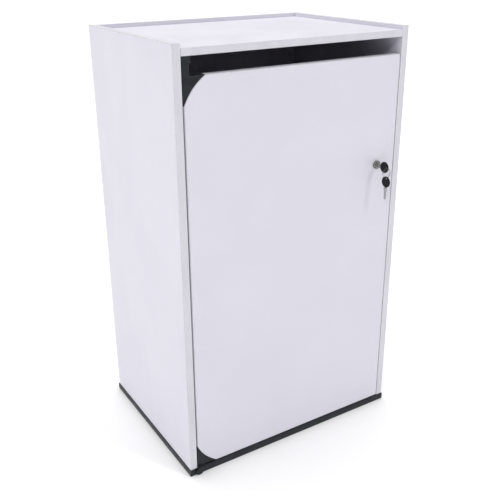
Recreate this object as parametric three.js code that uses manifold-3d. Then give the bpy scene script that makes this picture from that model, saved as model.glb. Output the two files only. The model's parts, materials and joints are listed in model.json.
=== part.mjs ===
// A floor-standing drop cabinet for mail and flat parcels: a white board carcass on a black base, an
// open drop slot under the top, and one door on pivot hinges with a cam lock and its two keys.
// Millimetres, +Z up, the front faces -Y. The origin is on the floor, at the middle of the footprint.
import * as THREE from "three";
import { mergeVertices } from "three/addons/utils/BufferGeometryUtils.js";
import Module from "manifold-3d";

const wasm = await Module();
wasm.setup();

// Driving dimensions
const WIDTH = 544; // over the side panels
const DEPTH = 398; // from the front edges to the back panel's outer face
const HEIGHT = 914; // from the floor to the tops of the side panels
const BOARD = 16; // sides, back and door
const TOP_BOARD = 14;
const TOP_RECESS = 8; // the sides and back stand this much above the top panel
const BASE_BOARD = 16;
const SLOT_HEIGHT = 34.5; // the drop slot, between the door and the top panel
const DOOR_GAP = 2; // round the inset door
const HINGE_GAP = 3.2; // between the left side panel and the door's left edge
const SEAT = 0.2; // gap between pieces that are fixed face to face
const LOOSE = 0.3; // radial gap of a pin, screw or plug in its hole

// Places that follow from them
const INNER_X = WIDTH / 2 - BOARD;
const FRONT_Y = -DEPTH / 2;
const BACK_Y = DEPTH / 2;
const TOP_UNDERSIDE = HEIGHT - TOP_RECESS - TOP_BOARD;
const DOOR_TOP = TOP_UNDERSIDE - SLOT_HEIGHT;
const DOOR_BOTTOM = BASE_BOARD + DOOR_GAP;
const DOOR_LEFT = -INNER_X + HINGE_GAP;
const DOOR_RIGHT = INNER_X - DOOR_GAP;
const PLATE_LEFT = -INNER_X + DOOR_GAP; // the corner plates' left edges, beyond the door's
const DOOR_BACK_Y = FRONT_Y + BOARD;

// Base edging: a T-section pressed into a groove round the base board
const EDGING = { lip: 1.1, crown: 2.3, height: 15.9, spine: 2, depth: 5.2, barb: 0.3 };
const GROOVE = { height: 3, depth: 5.6 };
const MITRE_GAP = 0.15;

// Connectors between the boards
const CAM = { radius: 7.3, height: 11.4, inset: 34, mouth: 4, y: [-120, 120] };
const CAM_BOLT = { grip: 11, thread: 2.8, shank: 3, neck: 1.8, head: 3.3, headLength: 2, bore: 4.2 };
const DOWEL = { radius: 4, length: 30, inSide: 10, z: [240, 680] };
const BASE_SCREW = { length: 50, shank: 2.5, head: 5, headHeight: 3 };
const BASE_SCREW_INSET = 7; // from the board's inner face, clear of the groove
const BASE_SCREW_SIDE_Y = 130;
const BASE_SCREW_BACK_X = 120;

// Pivot hinges: the door turns on two vertical pins near its left edge
const PIVOT_INSET = 6; // from the corner plates' left edges
const PIVOT_SETBACK = 4.5; // behind the door's front face
const PIVOT_X = PLATE_LEFT + PIVOT_INSET;
const PIVOT_Y = FRONT_Y + PIVOT_SETBACK;
const PIN_RADIUS = 2.5;
const PIN_LENGTH = 28;
const TOP_BLOCK = { width: 19.2, depth: 20, height: 12, flange: 3, flangeDepth: 44 };
const TOP_SCREWS_Y = [12, 32]; // behind the block
const BOTTOM_TAB = { width: 19.7, depth: 26, thickness: 2.5 };
const BOTTOM_LEG = { width: 11, thickness: 3.7, gap: 2.1, bulge: 4.8, shoulder: 14, waist: 8, foot: 1 };
const BOTTOM_SCREWS = [
  { x: -0.5, y: 9.5 },
  { x: 7, y: 17 },
]; // from the pivot
const HINGE_SCREW = { length: 13, shank: 1.8, head: 3.8, headHeight: 2.2 };

// Corner plates: moulded pieces that fill the door's two cut corners
const CORNER = { width: 46, height: 55, radius: 118, gap: 0.8, recess: 0.6, tip: 0.4 };
const POST = { width: 14, depth: 11, gap: 0.5 };
const CORNER_LIFT = 1.5; // the lower plate stands this much above the door's bottom edge
const CORNER_FLANGE = { thickness: 3, width: 72, height: 80, tip: 22, screwEdge: 14, screwReach: 13 };
const CORNER_SCREW = { length: 14, shank: 1.8, head: 3.8, headHeight: 2.2 };

// Cam lock, on an axis along Y
const LOCK_X = 206;
const LOCK_Z = 626.4;
const LOCK = { head: 9.2, headHeight: 5, barrel: 8, length: 20.2, bore: 6.3, counterbore: 7.2 };
const NUT = { radius: 12.6, thickness: 3.5 };
const PLUG = { radius: 6, flange: 6.9, proud: 0.4, flangeHeight: 1, end: 20.6, tail: 2.5, tailEnd: 23.4 };
const KEYWAY = { width: 2.6, height: 6.8, depth: 20 };
const LOCK_CAM = { width: 16, reach: 38, thickness: 2, start: 20.9, tipWidth: 12.8, corner: 4 };
const CAM_SCREW = { length: 9, shank: 1.3, head: 4, headHeight: 2.4 };
const STRIKE = { height: 50, flange: 18, thickness: 1.6, depth: 30, gap: 2.4, screwY: 18, screwZ: 12.5 };
const STRIKE_SCREW = { length: 13, shank: 1.8, head: 3.6, headHeight: 2 };
const STOP = { width: 9.8, depth: 18, height: 30, z: 315, gap: 0.6 };

// Keys and their ring
const BOW = { radius: 12, thickness: 3.2, rim: 2.4, dish: 0.4, hole: 2, holeOffset: 7.6, pad: 3.7 };
const BOW_CENTRE = 26.5; // in front of the door's face, with the key home
const BLADE = { thickness: 2, width: 6.2, length: 18.4, tip: 2, shoulder: 9 };
const TANG = { thickness: 1, width: 6, length: 7, slack: 0.3 };
const KEY_CUTS = { first: 3, pitch: 3.5, width: 1.6, depths: [0.8, 1.4, 0.8, 1.4] };
const RING = { radius: 10.4, wire: 0.7 };
const RING_SLACK = 0.25; // between the wire and the edge of a bow's hole

const material = (color, roughness, metalness) =>
  new THREE.MeshStandardMaterial({ color, roughness, metalness });
const WHITE_LAMINATE = material(0xe4e2ec, 0.45, 0);
const BLACK_LAMINATE = material(0x2c2e32, 0.6, 0);
const BLACK_VINYL = material(0x34373c, 0.5, 0);
const BLACK_NYLON = material(0x33363a, 0.55, 0);
const ZINC_STEEL = material(0xaeb2b6, 0.4, 1);
const CAM_ZINC = material(0x8d9094, 0.5, 1);
const NICKEL = material(0x9a9a96, 0.25, 1);
const BEECH = material(0xcaa878, 0.8, 0);
const BLACK_KEY = material(0x232327, 0.45, 0);

// ---- Solids ----

function solid(geometry) {
  const bare = geometry.index ? geometry.toNonIndexed() : geometry.clone();
  bare.deleteAttribute("normal");
  bare.deleteAttribute("uv");
  const merged = mergeVertices(bare, 1e-4);
  return new wasm.Manifold(
    new wasm.Mesh({
      numProp: 3,
      vertProperties: new Float32Array(merged.attributes.position.array),
      triVerts: new Uint32Array(merged.index.array),
    }),
  );
}

function geometryOf(manifold) {
  const mesh = manifold.getMesh();
  const geometry = new THREE.BufferGeometry();
  geometry.setAttribute("position", new THREE.BufferAttribute(mesh.vertProperties, 3));
  geometry.setIndex(new THREE.BufferAttribute(mesh.triVerts, 1));
  return geometry;
}

function cut(body, ...tools) {
  return geometryOf(tools.reduce((rest, tool) => rest.subtract(solid(tool)), solid(body)));
}

function join(...pieces) {
  return geometryOf(pieces.map(solid).reduce((all, piece) => all.add(piece)));
}

// A block between two opposite corners.
function block(low, high) {
  const size = high.map((v, i) => v - low[i]);
  const middle = high.map((v, i) => (v + low[i]) / 2);
  return new THREE.BoxGeometry(...size).translate(...middle);
}

// A round or many-sided bar from one point to another.
function rod(start, end, radius, sides = 16) {
  const from = new THREE.Vector3(...start);
  const along = new THREE.Vector3(...end).sub(from);
  const bar = new THREE.CylinderGeometry(radius, radius, along.length(), sides);
  bar.translate(0, along.length() / 2, 0);
  return aim(bar, new THREE.Vector3(0, 1, 0), along).translate(...start);
}

function aim(geometry, from, to) {
  const turn = new THREE.Quaternion().setFromUnitVectors(from, to.clone().normalize());
  return geometry.applyQuaternion(turn);
}

// A solid of revolution about Z from [radius, z] pairs that start and end on the axis.
function turned(pairs, sides = 16) {
  const points = pairs.map(([r, z]) => new THREE.Vector2(r, z));
  return new THREE.LatheGeometry(points, sides).rotateX(Math.PI / 2);
}

// A plate with an outline drawn in X and Z, between two depths in Y.
function plate(outline, frontY, backY, curveSegments = 16) {
  const options = { depth: backY - frontY, bevelEnabled: false, curveSegments };
  return new THREE.ExtrudeGeometry(outline, options).rotateX(Math.PI / 2).translate(0, backY, 0);
}

function outline(points) {
  return new THREE.Shape(points.map(([x, y]) => new THREE.Vector2(x, y)));
}

// ---- Nodes ----

function part(group, name, geometry, finish) {
  const flat = geometry.index ? geometry.toNonIndexed() : geometry;
  flat.computeVertexNormals();
  const mesh = new THREE.Mesh(flat, finish);
  mesh.name = name;
  group.add(mesh);
  return mesh;
}

function placed(group, name, geometry, finish, position, direction) {
  const mesh = part(group, name, geometry, finish);
  mesh.position.set(...position);
  const turn = new THREE.Vector3(...direction).normalize();
  mesh.quaternion.setFromUnitVectors(new THREE.Vector3(0, 0, 1), turn);
  return mesh;
}

function groupAt(parent, x, y, z) {
  const group = new THREE.Group();
  group.position.set(x, y, z);
  parent.add(group);
  return group;
}

// ---- Screws: the head's face is at z = 0 and the point is towards +Z ----

const RECESS_DEPTH = 1.4;
const POINT_LENGTH = 3;

function crossRecess(radius) {
  const arm = radius * 0.55;
  const blade = radius * 0.14;
  return [
    block([-arm, -blade, -1], [arm, blade, RECESS_DEPTH]),
    block([-blade, -arm, -1], [blade, arm, RECESS_DEPTH]),
  ];
}

function countersunkScrew({ length, shank, head, headHeight }) {
  const rim = 0.5;
  const body = turned([
    [0, 0],
    [head, 0],
    [head, rim],
    [shank, headHeight],
    [shank, length - POINT_LENGTH],
    [0, length],
  ]);
  return cut(body, ...crossRecess(head));
}

function countersunkHole({ length, shank, head, headHeight }, position, direction) {
  const hole = turned([
    [0, -1],
    [head + LOOSE, -1],
    [head + LOOSE, 0.5],
    [shank + LOOSE, headHeight],
    [shank + LOOSE, length + 1],
    [0, length + 1],
  ]);
  const up = new THREE.Vector3(0, 0, 1);
  return aim(hole, up, new THREE.Vector3(...direction)).translate(...position);
}

// A pan head's underside is at z = headHeight.
function panScrew({ length, shank, head, headHeight }) {
  const body = turned([
    [0, 0],
    [head * 0.7, 0],
    [head, headHeight * 0.5],
    [head, headHeight],
    [shank, headHeight],
    [shank, length - POINT_LENGTH],
    [0, length],
  ]);
  return cut(body, ...crossRecess(head));
}

function pilotHole(screw, position, direction) {
  const reach = new THREE.Vector3(...direction).multiplyScalar(screw.length + 1);
  const end = new THREE.Vector3(...position).add(reach);
  return rod(position, end.toArray(), screw.shank + LOOSE, 12);
}

// ---- Where the repeated fasteners go ----

const SIDES = [
  { name: "left", sign: -1 },
  { name: "right", sign: 1 },
];

const baseScrewPlaces = [
  ...SIDES.flatMap(({ name, sign }) => [
    { name: `${name}_front`, at: [sign * (INNER_X + BASE_SCREW_INSET), -BASE_SCREW_SIDE_Y, SEAT] },
    { name: `${name}_rear`, at: [sign * (INNER_X + BASE_SCREW_INSET), BASE_SCREW_SIDE_Y, SEAT] },
  ]),
  ...SIDES.map(({ name, sign }) => ({
    name: `back_${name}`,
    at: [sign * BASE_SCREW_BACK_X, BACK_Y - BOARD + BASE_SCREW_INSET, SEAT],
  })),
];

const camZ = TOP_UNDERSIDE + SEAT;
const camBoltZ = TOP_UNDERSIDE + TOP_BOARD / 2;
const camPlaces = SIDES.flatMap(({ name, sign }) =>
  CAM.y.map((y, i) => ({
    name: `${name}_${i ? "rear" : "front"}`,
    sign,
    x: sign * (INNER_X - CAM.inset),
    y,
  })),
);

const dowelPlaces = SIDES.flatMap(({ name, sign }) =>
  DOWEL.z.map((z, i) => ({ name: `${name}_${i ? "upper" : "lower"}`, sign, z })),
);
const dowelY = BACK_Y - BOARD / 2;

const topBlockLeft = -INNER_X + LOOSE;
const topBlockRight = topBlockLeft + TOP_BLOCK.width;
const topFlangeZ = TOP_UNDERSIDE - SEAT - TOP_BLOCK.flange;
const topScrewPlaces = TOP_SCREWS_Y.map((y) => [
  (topBlockLeft + topBlockRight) / 2,
  FRONT_Y + TOP_BLOCK.depth + y,
  topFlangeZ,
]);

const tabTop = BASE_BOARD + SEAT + BOTTOM_TAB.thickness;
const bottomScrewPlaces = BOTTOM_SCREWS.map(({ x, y }) => [PIVOT_X + x, PIVOT_Y + y, tabTop]);

const strikeX = INNER_X - SEAT;
const strikeY = DOOR_BACK_Y + STRIKE.gap;
const strikeScrewPlaces = [-STRIKE.screwZ, STRIKE.screwZ].map((dz) => [
  strikeX - STRIKE.thickness - STRIKE_SCREW.headHeight - SEAT,
  strikeY + STRIKE.screwY,
  LOCK_Z + dz,
]);
const stopY = DOOR_BACK_Y + STOP.gap;
const stopScrewPlace = [strikeX - STOP.width, stopY + STOP.depth / 2, STOP.z];

// ---- Boards ----

function sidePanel(sign) {
  const inner = sign * INNER_X;
  const outer = sign * (INNER_X + BOARD);
  const low = [Math.min(inner, outer), FRONT_Y, BASE_BOARD + SEAT];
  const high = [Math.max(inner, outer), BACK_Y, HEIGHT];
  const holes = [];
  for (const y of CAM.y) {
    const end = inner + sign * (CAM_BOLT.grip + 1);
    holes.push(rod([inner - sign, y, camBoltZ], [end, y, camBoltZ], CAM_BOLT.thread + LOOSE, 12));
  }
  for (const z of DOWEL.z) {
    const end = inner + sign * (DOWEL.inSide + 1);
    holes.push(rod([inner - sign, dowelY, z], [end, dowelY, z], DOWEL.radius + LOOSE, 12));
  }
  for (const place of baseScrewPlaces) {
    if (Math.sign(place.at[0]) === sign && Math.abs(place.at[0]) > INNER_X) {
      holes.push(pilotHole(BASE_SCREW, place.at, [0, 0, 1]));
    }
  }
  if (sign > 0) {
    for (const at of strikeScrewPlaces) holes.push(pilotHole(STRIKE_SCREW, at, [1, 0, 0]));
    holes.push(pilotHole(STRIKE_SCREW, stopScrewPlace, [1, 0, 0]));
  }
  return cut(block(low, high), ...holes);
}

function topPanel() {
  const low = [-INNER_X + SEAT, FRONT_Y, TOP_UNDERSIDE];
  const high = [INNER_X - SEAT, BACK_Y - BOARD - SEAT, TOP_UNDERSIDE + TOP_BOARD];
  const holes = [];
  for (const { x, y, sign } of camPlaces) {
    const bore = CAM.radius + LOOSE;
    const boltEnd = [sign * (INNER_X + 1), y, camBoltZ];
    holes.push(rod([x, y, TOP_UNDERSIDE - 1], [x, y, camZ + CAM.height + LOOSE], bore, 24));
    holes.push(rod([x, y, camBoltZ], boltEnd, CAM_BOLT.bore, 12));
  }
  for (const at of topScrewPlaces) holes.push(pilotHole(HINGE_SCREW, at, [0, 0, 1]));
  return cut(block(low, high), ...holes);
}

function backPanel() {
  const low = [-INNER_X + SEAT, BACK_Y - BOARD, BASE_BOARD + SEAT];
  const high = [INNER_X - SEAT, BACK_Y, HEIGHT];
  const holes = dowelPlaces.map(({ sign, z }) => {
    const end = sign * (INNER_X - DOWEL.length + DOWEL.inSide - 1);
    return rod([sign * (INNER_X + 1), dowelY, z], [end, dowelY, z], DOWEL.radius + LOOSE, 12);
  });
  for (const { name, at } of baseScrewPlaces) {
    if (name.startsWith("back")) holes.push(pilotHole(BASE_SCREW, at, [0, 0, 1]));
  }
  return cut(block(low, high), ...holes);
}

function baseBoard() {
  const board = block([-WIDTH / 2, FRONT_Y, 0], [WIDTH / 2, BACK_Y, BASE_BOARD]);
  const middle = EDGING.height / 2;
  const grooveLow = middle - GROOVE.height / 2;
  const grooveHigh = middle + GROOVE.height / 2;
  const inX = WIDTH / 2 - GROOVE.depth;
  const inY = BACK_Y - GROOVE.depth;
  const around = block([-WIDTH, -DEPTH, grooveLow], [WIDTH, DEPTH, grooveHigh]);
  const groove = cut(around, block([-inX, -inY, 0], [inX, inY, BASE_BOARD]));
  const holes = baseScrewPlaces.map(({ at }) => countersunkHole(BASE_SCREW, at, [0, 0, 1]));
  for (const at of bottomScrewPlaces) holes.push(pilotHole(HINGE_SCREW, at, [0, 0, -1]));
  return cut(board, groove, ...holes);
}

// The edging's section: X is outwards from the board's edge, Y is up.
function edgingProfile() {
  const { lip, crown, height, spine, depth, barb } = EDGING;
  const middle = height / 2;
  const profile = new THREE.Shape();
  profile.moveTo(MITRE_GAP, 0);
  profile.lineTo(lip, 0);
  profile.quadraticCurveTo(crown, middle, lip, height);
  profile.lineTo(MITRE_GAP, height);
  profile.lineTo(MITRE_GAP, middle + spine / 2);
  for (const tip of [-1.5, -3.2]) {
    profile.lineTo(tip, middle + spine / 2);
    profile.lineTo(tip, middle + spine / 2 + barb);
    profile.lineTo(tip - 1, middle + spine / 2);
  }
  profile.lineTo(-depth, middle + spine / 4);
  profile.lineTo(-depth, middle - spine / 4);
  for (const tip of [-3.2, -1.5]) {
    profile.lineTo(tip - 1, middle - spine / 2);
    profile.lineTo(tip, middle - spine / 2 - barb);
    profile.lineTo(tip, middle - spine / 2);
  }
  profile.lineTo(MITRE_GAP, middle - spine / 2);
  return profile;
}

// One run of edging with mitred ends, outwards towards +X.
function edging(length) {
  const options = { depth: length, bevelEnabled: false, curveSegments: 6 };
  const strip = new THREE.ExtrudeGeometry(edgingProfile(), options);
  const position = strip.attributes.position;
  for (let i = 0; i < position.count; i += 1) {
    const end = position.getZ(i) > length / 2 ? 1 : -1;
    position.setZ(i, end * (length / 2 + position.getX(i) - MITRE_GAP));
  }
  return strip.rotateX(Math.PI / 2);
}

function addEdging(group) {
  const runs = [
    { name: "base_edge_right", length: DEPTH, at: [WIDTH / 2, 0], turn: 0 },
    { name: "base_edge_back", length: WIDTH, at: [0, BACK_Y], turn: Math.PI / 2 },
    { name: "base_edge_left", length: DEPTH, at: [-WIDTH / 2, 0], turn: Math.PI },
    { name: "base_edge_front", length: WIDTH, at: [0, FRONT_Y], turn: -Math.PI / 2 },
  ];
  for (const { name, length, at, turn } of runs) {
    const strip = part(group, name, edging(length), BLACK_VINYL);
    strip.position.set(at[0], at[1], 0);
    strip.rotation.z = turn;
  }
}

// ---- Board connectors ----

// A drum with a side mouth for the bolt's head, its cross recess facing down.
function camFitting() {
  const middle = TOP_BOARD / 2 - SEAT;
  const drum = rod([0, 0, 0], [0, 0, CAM.height], CAM.radius, 24);
  const mouth = rod([-CAM.mouth / 2, 0, middle], [CAM.radius + 1, 0, middle], CAM.mouth, 12);
  return cut(drum, mouth, ...crossRecess(CAM.radius));
}

// Its thread is in the side panel and its head in the drum, along +Z from the panel's face.
function camBolt() {
  const { grip, thread, shank, neck, head, headLength } = CAM_BOLT;
  const neckStart = CAM.inset - CAM.radius + LOOSE;
  const tip = CAM.inset - 1;
  const headEnd = tip - 1;
  return turned(
    [
      [0, -grip],
      [thread, 1 - grip],
      [thread, 0],
      [shank, 0],
      [shank, neckStart],
      [neck, neckStart],
      [neck, headEnd - headLength],
      [head, headEnd - headLength],
      [head, headEnd],
      [0, tip],
    ],
    12,
  );
}

function dowel() {
  const { radius, length } = DOWEL;
  return turned([
    [0, 0],
    [radius - 1, 0],
    [radius, 1],
    [radius, length - 1],
    [radius - 1, length],
    [0, length],
  ]);
}

function addConnectors(group) {
  for (const { name, sign, x, y } of camPlaces) {
    const drum = part(group, `cam_fitting_${name}`, camFitting(), CAM_ZINC);
    drum.position.set(x, y, camZ);
    drum.rotation.z = sign > 0 ? 0 : Math.PI;
    const face = [sign * INNER_X, y, camBoltZ];
    placed(group, `cam_bolt_${name}`, camBolt(), ZINC_STEEL, face, [-sign, 0, 0]);
  }
  for (const { name, sign, z } of dowelPlaces) {
    const start = [sign * (INNER_X + DOWEL.inSide), dowelY, z];
    placed(group, `back_dowel_${name}`, dowel(), BEECH, start, [-sign, 0, 0]);
  }
  for (const { name, at } of baseScrewPlaces) {
    placed(group, `base_screw_${name}`, countersunkScrew(BASE_SCREW), ZINC_STEEL, at, [0, 0, 1]);
  }
}

// ---- Fixed hinge pieces ----

const topBlockBottom = TOP_UNDERSIDE - SEAT - TOP_BLOCK.height;
const topPinTop = TOP_UNDERSIDE - SEAT - TOP_BLOCK.flange;

function hingeBracketTop() {
  const body = block(
    [topBlockLeft, FRONT_Y, topBlockBottom],
    [topBlockRight, FRONT_Y + TOP_BLOCK.depth, TOP_UNDERSIDE - SEAT],
  );
  const flange = block(
    [topBlockLeft, FRONT_Y + TOP_BLOCK.depth - 1, topFlangeZ],
    [topBlockRight, FRONT_Y + TOP_BLOCK.depth + TOP_BLOCK.flangeDepth, TOP_UNDERSIDE - SEAT],
  );
  const bore = rod(
    [PIVOT_X, PIVOT_Y, topBlockBottom - 1],
    [PIVOT_X, PIVOT_Y, topPinTop + LOOSE],
    PIN_RADIUS + LOOSE,
    24,
  );
  const holes = topScrewPlaces.map((at) => countersunkHole(HINGE_SCREW, at, [0, 0, 1]));
  return cut(join(body, flange), bore, ...holes);
}

// A flat tab on the base with a rounded leg bent down over the edging.
function hingeBracketBottom() {
  const left = -INNER_X + LOOSE;
  const right = left + BOTTOM_TAB.width;
  const { width, thickness, gap, bulge, shoulder, waist, foot } = BOTTOM_LEG;
  const legRight = left + width;
  const legBack = FRONT_Y - gap;
  const legFront = legBack - thickness;
  const tabLow = BASE_BOARD + SEAT;
  const tab = block([left, FRONT_Y + 0.5, tabLow], [right, FRONT_Y + BOTTOM_TAB.depth, tabTop]);
  const neck = block([left, legFront, tabLow], [legRight, FRONT_Y + 1, tabTop]);
  const leg = new THREE.Shape();
  leg.moveTo(left, tabTop);
  leg.lineTo(left, shoulder);
  leg.quadraticCurveTo(left - bulge, shoulder, left - bulge, waist);
  leg.quadraticCurveTo(left - bulge, foot, left + width / 4, foot);
  leg.quadraticCurveTo(legRight, foot, legRight, waist);
  leg.lineTo(legRight, tabTop);
  const pinHole = rod(
    [PIVOT_X, PIVOT_Y, tabLow - 1],
    [PIVOT_X, PIVOT_Y, tabTop + 1],
    PIN_RADIUS + LOOSE,
    24,
  );
  const holes = bottomScrewPlaces.map((at) => countersunkHole(HINGE_SCREW, at, [0, 0, -1]));
  return cut(join(tab, neck, plate(leg, legFront, legBack, 6)), pinHole, ...holes);
}

function pivotPin() {
  const chamfer = 0.6;
  return turned(
    [
      [0, 0],
      [PIN_RADIUS - chamfer, 0],
      [PIN_RADIUS, chamfer],
      [PIN_RADIUS, PIN_LENGTH - chamfer],
      [PIN_RADIUS - chamfer, PIN_LENGTH],
      [0, PIN_LENGTH],
    ],
    24,
  );
}

const topPinZ = topPinTop - PIN_LENGTH;
const bottomPinZ = BASE_BOARD + SEAT;

function addFixedHinges(group) {
  part(group, "hinge_bracket_top", hingeBracketTop(), BLACK_NYLON);
  part(group, "hinge_bracket_bottom", hingeBracketBottom(), BLACK_NYLON);
  const up = [0, 0, 1];
  placed(group, "pivot_pin_top", pivotPin(), ZINC_STEEL, [PIVOT_X, PIVOT_Y, topPinZ], up);
  placed(group, "pivot_pin_bottom", pivotPin(), ZINC_STEEL, [PIVOT_X, PIVOT_Y, bottomPinZ], up);
  const screw = () => countersunkScrew(HINGE_SCREW);
  const names = ["front", "rear"];
  names.forEach((name, i) => {
    placed(group, `hinge_top_screw_${name}`, screw(), ZINC_STEEL, topScrewPlaces[i], up);
    const down = [0, 0, -1];
    placed(group, `hinge_bottom_screw_${name}`, screw(), ZINC_STEEL, bottomScrewPlaces[i], down);
  });
}

// ---- Strike plate and door stop on the right side panel ----

function strikePlate() {
  const low = LOCK_Z - STRIKE.height / 2;
  const high = LOCK_Z + STRIKE.height / 2;
  const wall = block(
    [strikeX - STRIKE.thickness, strikeY, low],
    [strikeX, strikeY + STRIKE.depth, high],
  );
  const flange = block(
    [strikeX - STRIKE.flange, strikeY, low],
    [strikeX, strikeY + STRIKE.thickness, high],
  );
  const holes = strikeScrewPlaces.map((at) => pilotHole(STRIKE_SCREW, at, [1, 0, 0]));
  return cut(join(wall, flange), ...holes);
}

function doorStop() {
  const body = block(
    [strikeX - STOP.width, stopY, STOP.z - STOP.height / 2],
    [strikeX, stopY + STOP.depth, STOP.z + STOP.height / 2],
  );
  const head = [
    stopScrewPlace[0] + STRIKE_SCREW.headHeight + LOOSE,
    stopScrewPlace[1],
    stopScrewPlace[2],
  ];
  const mouth = [stopScrewPlace[0] - 1, stopScrewPlace[1], stopScrewPlace[2]];
  return cut(
    body,
    rod(mouth, head, STRIKE_SCREW.head + LOOSE),
    pilotHole(STRIKE_SCREW, stopScrewPlace, [1, 0, 0]),
  );
}

function addCatchSide(group) {
  part(group, "strike_plate", strikePlate(), ZINC_STEEL);
  ["lower", "upper"].forEach((name, i) => {
    const at = strikeScrewPlaces[i];
    placed(group, `strike_screw_${name}`, panScrew(STRIKE_SCREW), ZINC_STEEL, at, [1, 0, 0]);
  });
  part(group, "door_stop", doorStop(), WHITE_LAMINATE);
  const stopScrew = panScrew(STRIKE_SCREW);
  placed(group, "door_stop_screw", stopScrew, ZINC_STEEL, stopScrewPlace, [1, 0, 0]);
}

// ---- Door ----

// Centre of the arc that cuts a door corner, measured from the corner inwards along X and along Z.
function cornerCentre() {
  const { width, height, radius } = CORNER;
  const chord = Math.hypot(width, height);
  const reach = Math.sqrt(radius * radius - (chord * chord) / 4);
  return { x: width / 2 + (reach * height) / chord, z: height / 2 + (reach * width) / chord };
}

// Points on that arc, from one distance from the plates' left edge to another. The radius may be larger
// by `grow`, and up is 1 at the door's top corner and -1 at the bottom one.
function cornerArc(up, grow, fromX, toX, steps = 12) {
  const centre = cornerCentre();
  const radius = CORNER.radius + grow;
  const start = Math.acos((centre.x - fromX) / radius);
  const end = Math.acos((centre.x - toX) / radius);
  const edgeZ = up > 0 ? DOOR_TOP : DOOR_BOTTOM;
  const points = [];
  for (let i = 0; i <= steps; i += 1) {
    const angle = start + ((end - start) * i) / steps;
    points.push([
      PLATE_LEFT + centre.x - radius * Math.cos(angle),
      edgeZ - up * (centre.z - radius * Math.sin(angle)),
    ]);
  }
  return points;
}

// How far from the plates' left edge the arc meets a level `lift` inside the door's horizontal edge.
function arcReach(grow, lift) {
  const centre = cornerCentre();
  const radius = CORNER.radius + grow;
  return centre.x - Math.sqrt(radius * radius - (centre.z - lift) ** 2);
}

const cornerScrewPlaces = (up) => {
  const { thickness, screwEdge, screwReach } = CORNER_FLANGE;
  const edgeZ = up > 0 ? DOOR_TOP : DOOR_BOTTOM;
  const y = DOOR_BACK_Y + SEAT + thickness;
  return [
    [PLATE_LEFT + CORNER.width + screwReach, y, edgeZ - up * screwEdge],
    [PLATE_LEFT + screwEdge, y, edgeZ - up * (CORNER.height + screwReach)],
  ];
};

function doorPanel() {
  const step = DOOR_LEFT - PLATE_LEFT;
  const shape = outline([
    ...cornerArc(-1, 0, step, CORNER.width).reverse(),
    ...cornerArc(1, 0, step, CORNER.width),
    [DOOR_RIGHT, DOOR_TOP],
    [DOOR_RIGHT, DOOR_BOTTOM],
  ]);
  const lockHole = rod(
    [LOCK_X, FRONT_Y - 1, LOCK_Z],
    [LOCK_X, DOOR_BACK_Y + 1, LOCK_Z],
    LOCK.barrel + LOOSE,
    32,
  );
  const holes = [1, -1].flatMap((up) =>
    cornerScrewPlaces(up).map((at) => pilotHole(CORNER_SCREW, at, [0, -1, 0])),
  );
  return cut(plate(shape, FRONT_Y, DOOR_BACK_Y), lockHole, ...holes);
}

// The web fills the cut corner, the strip along the left edge holds the pivot's bore, and the flange
// laps the door's rear face.
function cornerPlate(up) {
  const lift = up > 0 ? 0 : CORNER_LIFT;
  const edgeZ = up > 0 ? DOOR_TOP : DOOR_BOTTOM + CORNER_LIFT;
  const stripRight = PLATE_LEFT + POST.width;
  const reach = arcReach(CORNER.gap, lift);
  const webArc = cornerArc(up, CORNER.gap, CORNER.tip, reach);
  const stripArc = cornerArc(up, CORNER.gap, CORNER.tip, POST.width, 4);
  const tipZ = webArc[0][1];
  const web = outline([[PLATE_LEFT, edgeZ], [PLATE_LEFT, tipZ], ...webArc]);
  const strip = outline([[PLATE_LEFT, edgeZ], [PLATE_LEFT, tipZ], ...stripArc, [stripRight, edgeZ]]);
  const flange = outline([
    [PLATE_LEFT, edgeZ],
    [PLATE_LEFT, edgeZ - up * CORNER_FLANGE.height],
    [PLATE_LEFT + CORNER_FLANGE.tip, edgeZ - up * CORNER_FLANGE.height],
    [PLATE_LEFT + CORNER_FLANGE.width, edgeZ - up * CORNER_FLANGE.tip],
    [PLATE_LEFT + CORNER_FLANGE.width, edgeZ],
  ]);
  const flangeY = DOOR_BACK_Y + SEAT;
  const pieces = [
    plate(web, FRONT_Y + CORNER.recess, flangeY + 1),
    plate(strip, FRONT_Y, flangeY + 1),
    plate(flange, flangeY, flangeY + CORNER_FLANGE.thickness),
  ];
  let boreLow = bottomPinZ;
  let boreHigh = bottomPinZ + PIN_LENGTH + 1;
  if (up > 0) {
    const postTop = topBlockBottom - POST.gap;
    pieces.push(
      block([PLATE_LEFT, FRONT_Y, edgeZ - 2], [stripRight, FRONT_Y + POST.depth, postTop]),
    );
    boreLow = topPinZ - 1;
    boreHigh = postTop + 1;
  }
  const bore = rod([PIVOT_X, PIVOT_Y, boreLow], [PIVOT_X, PIVOT_Y, boreHigh], PIN_RADIUS + LOOSE, 24);
  const holes = cornerScrewPlaces(up).map((at) => countersunkHole(CORNER_SCREW, at, [0, -1, 0]));
  return cut(join(...pieces), bore, ...holes);
}

function addDoor(group) {
  part(group, "door_panel", doorPanel(), WHITE_LAMINATE);
  for (const { name, up } of [
    { name: "top", up: 1 },
    { name: "bottom", up: -1 },
  ]) {
    part(group, `corner_plate_${name}`, cornerPlate(up), BLACK_NYLON);
    ["inner", "outer"].forEach((which, i) => {
      const screw = countersunkScrew(CORNER_SCREW);
      const at = cornerScrewPlaces(up)[i];
      placed(group, `corner_${name}_screw_${which}`, screw, ZINC_STEEL, at, [0, -1, 0]);
    });
  }
}

// ---- Lock: drawn about its own Z axis, with the door's front face at z = 0 and +Z towards the inside ----

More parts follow.
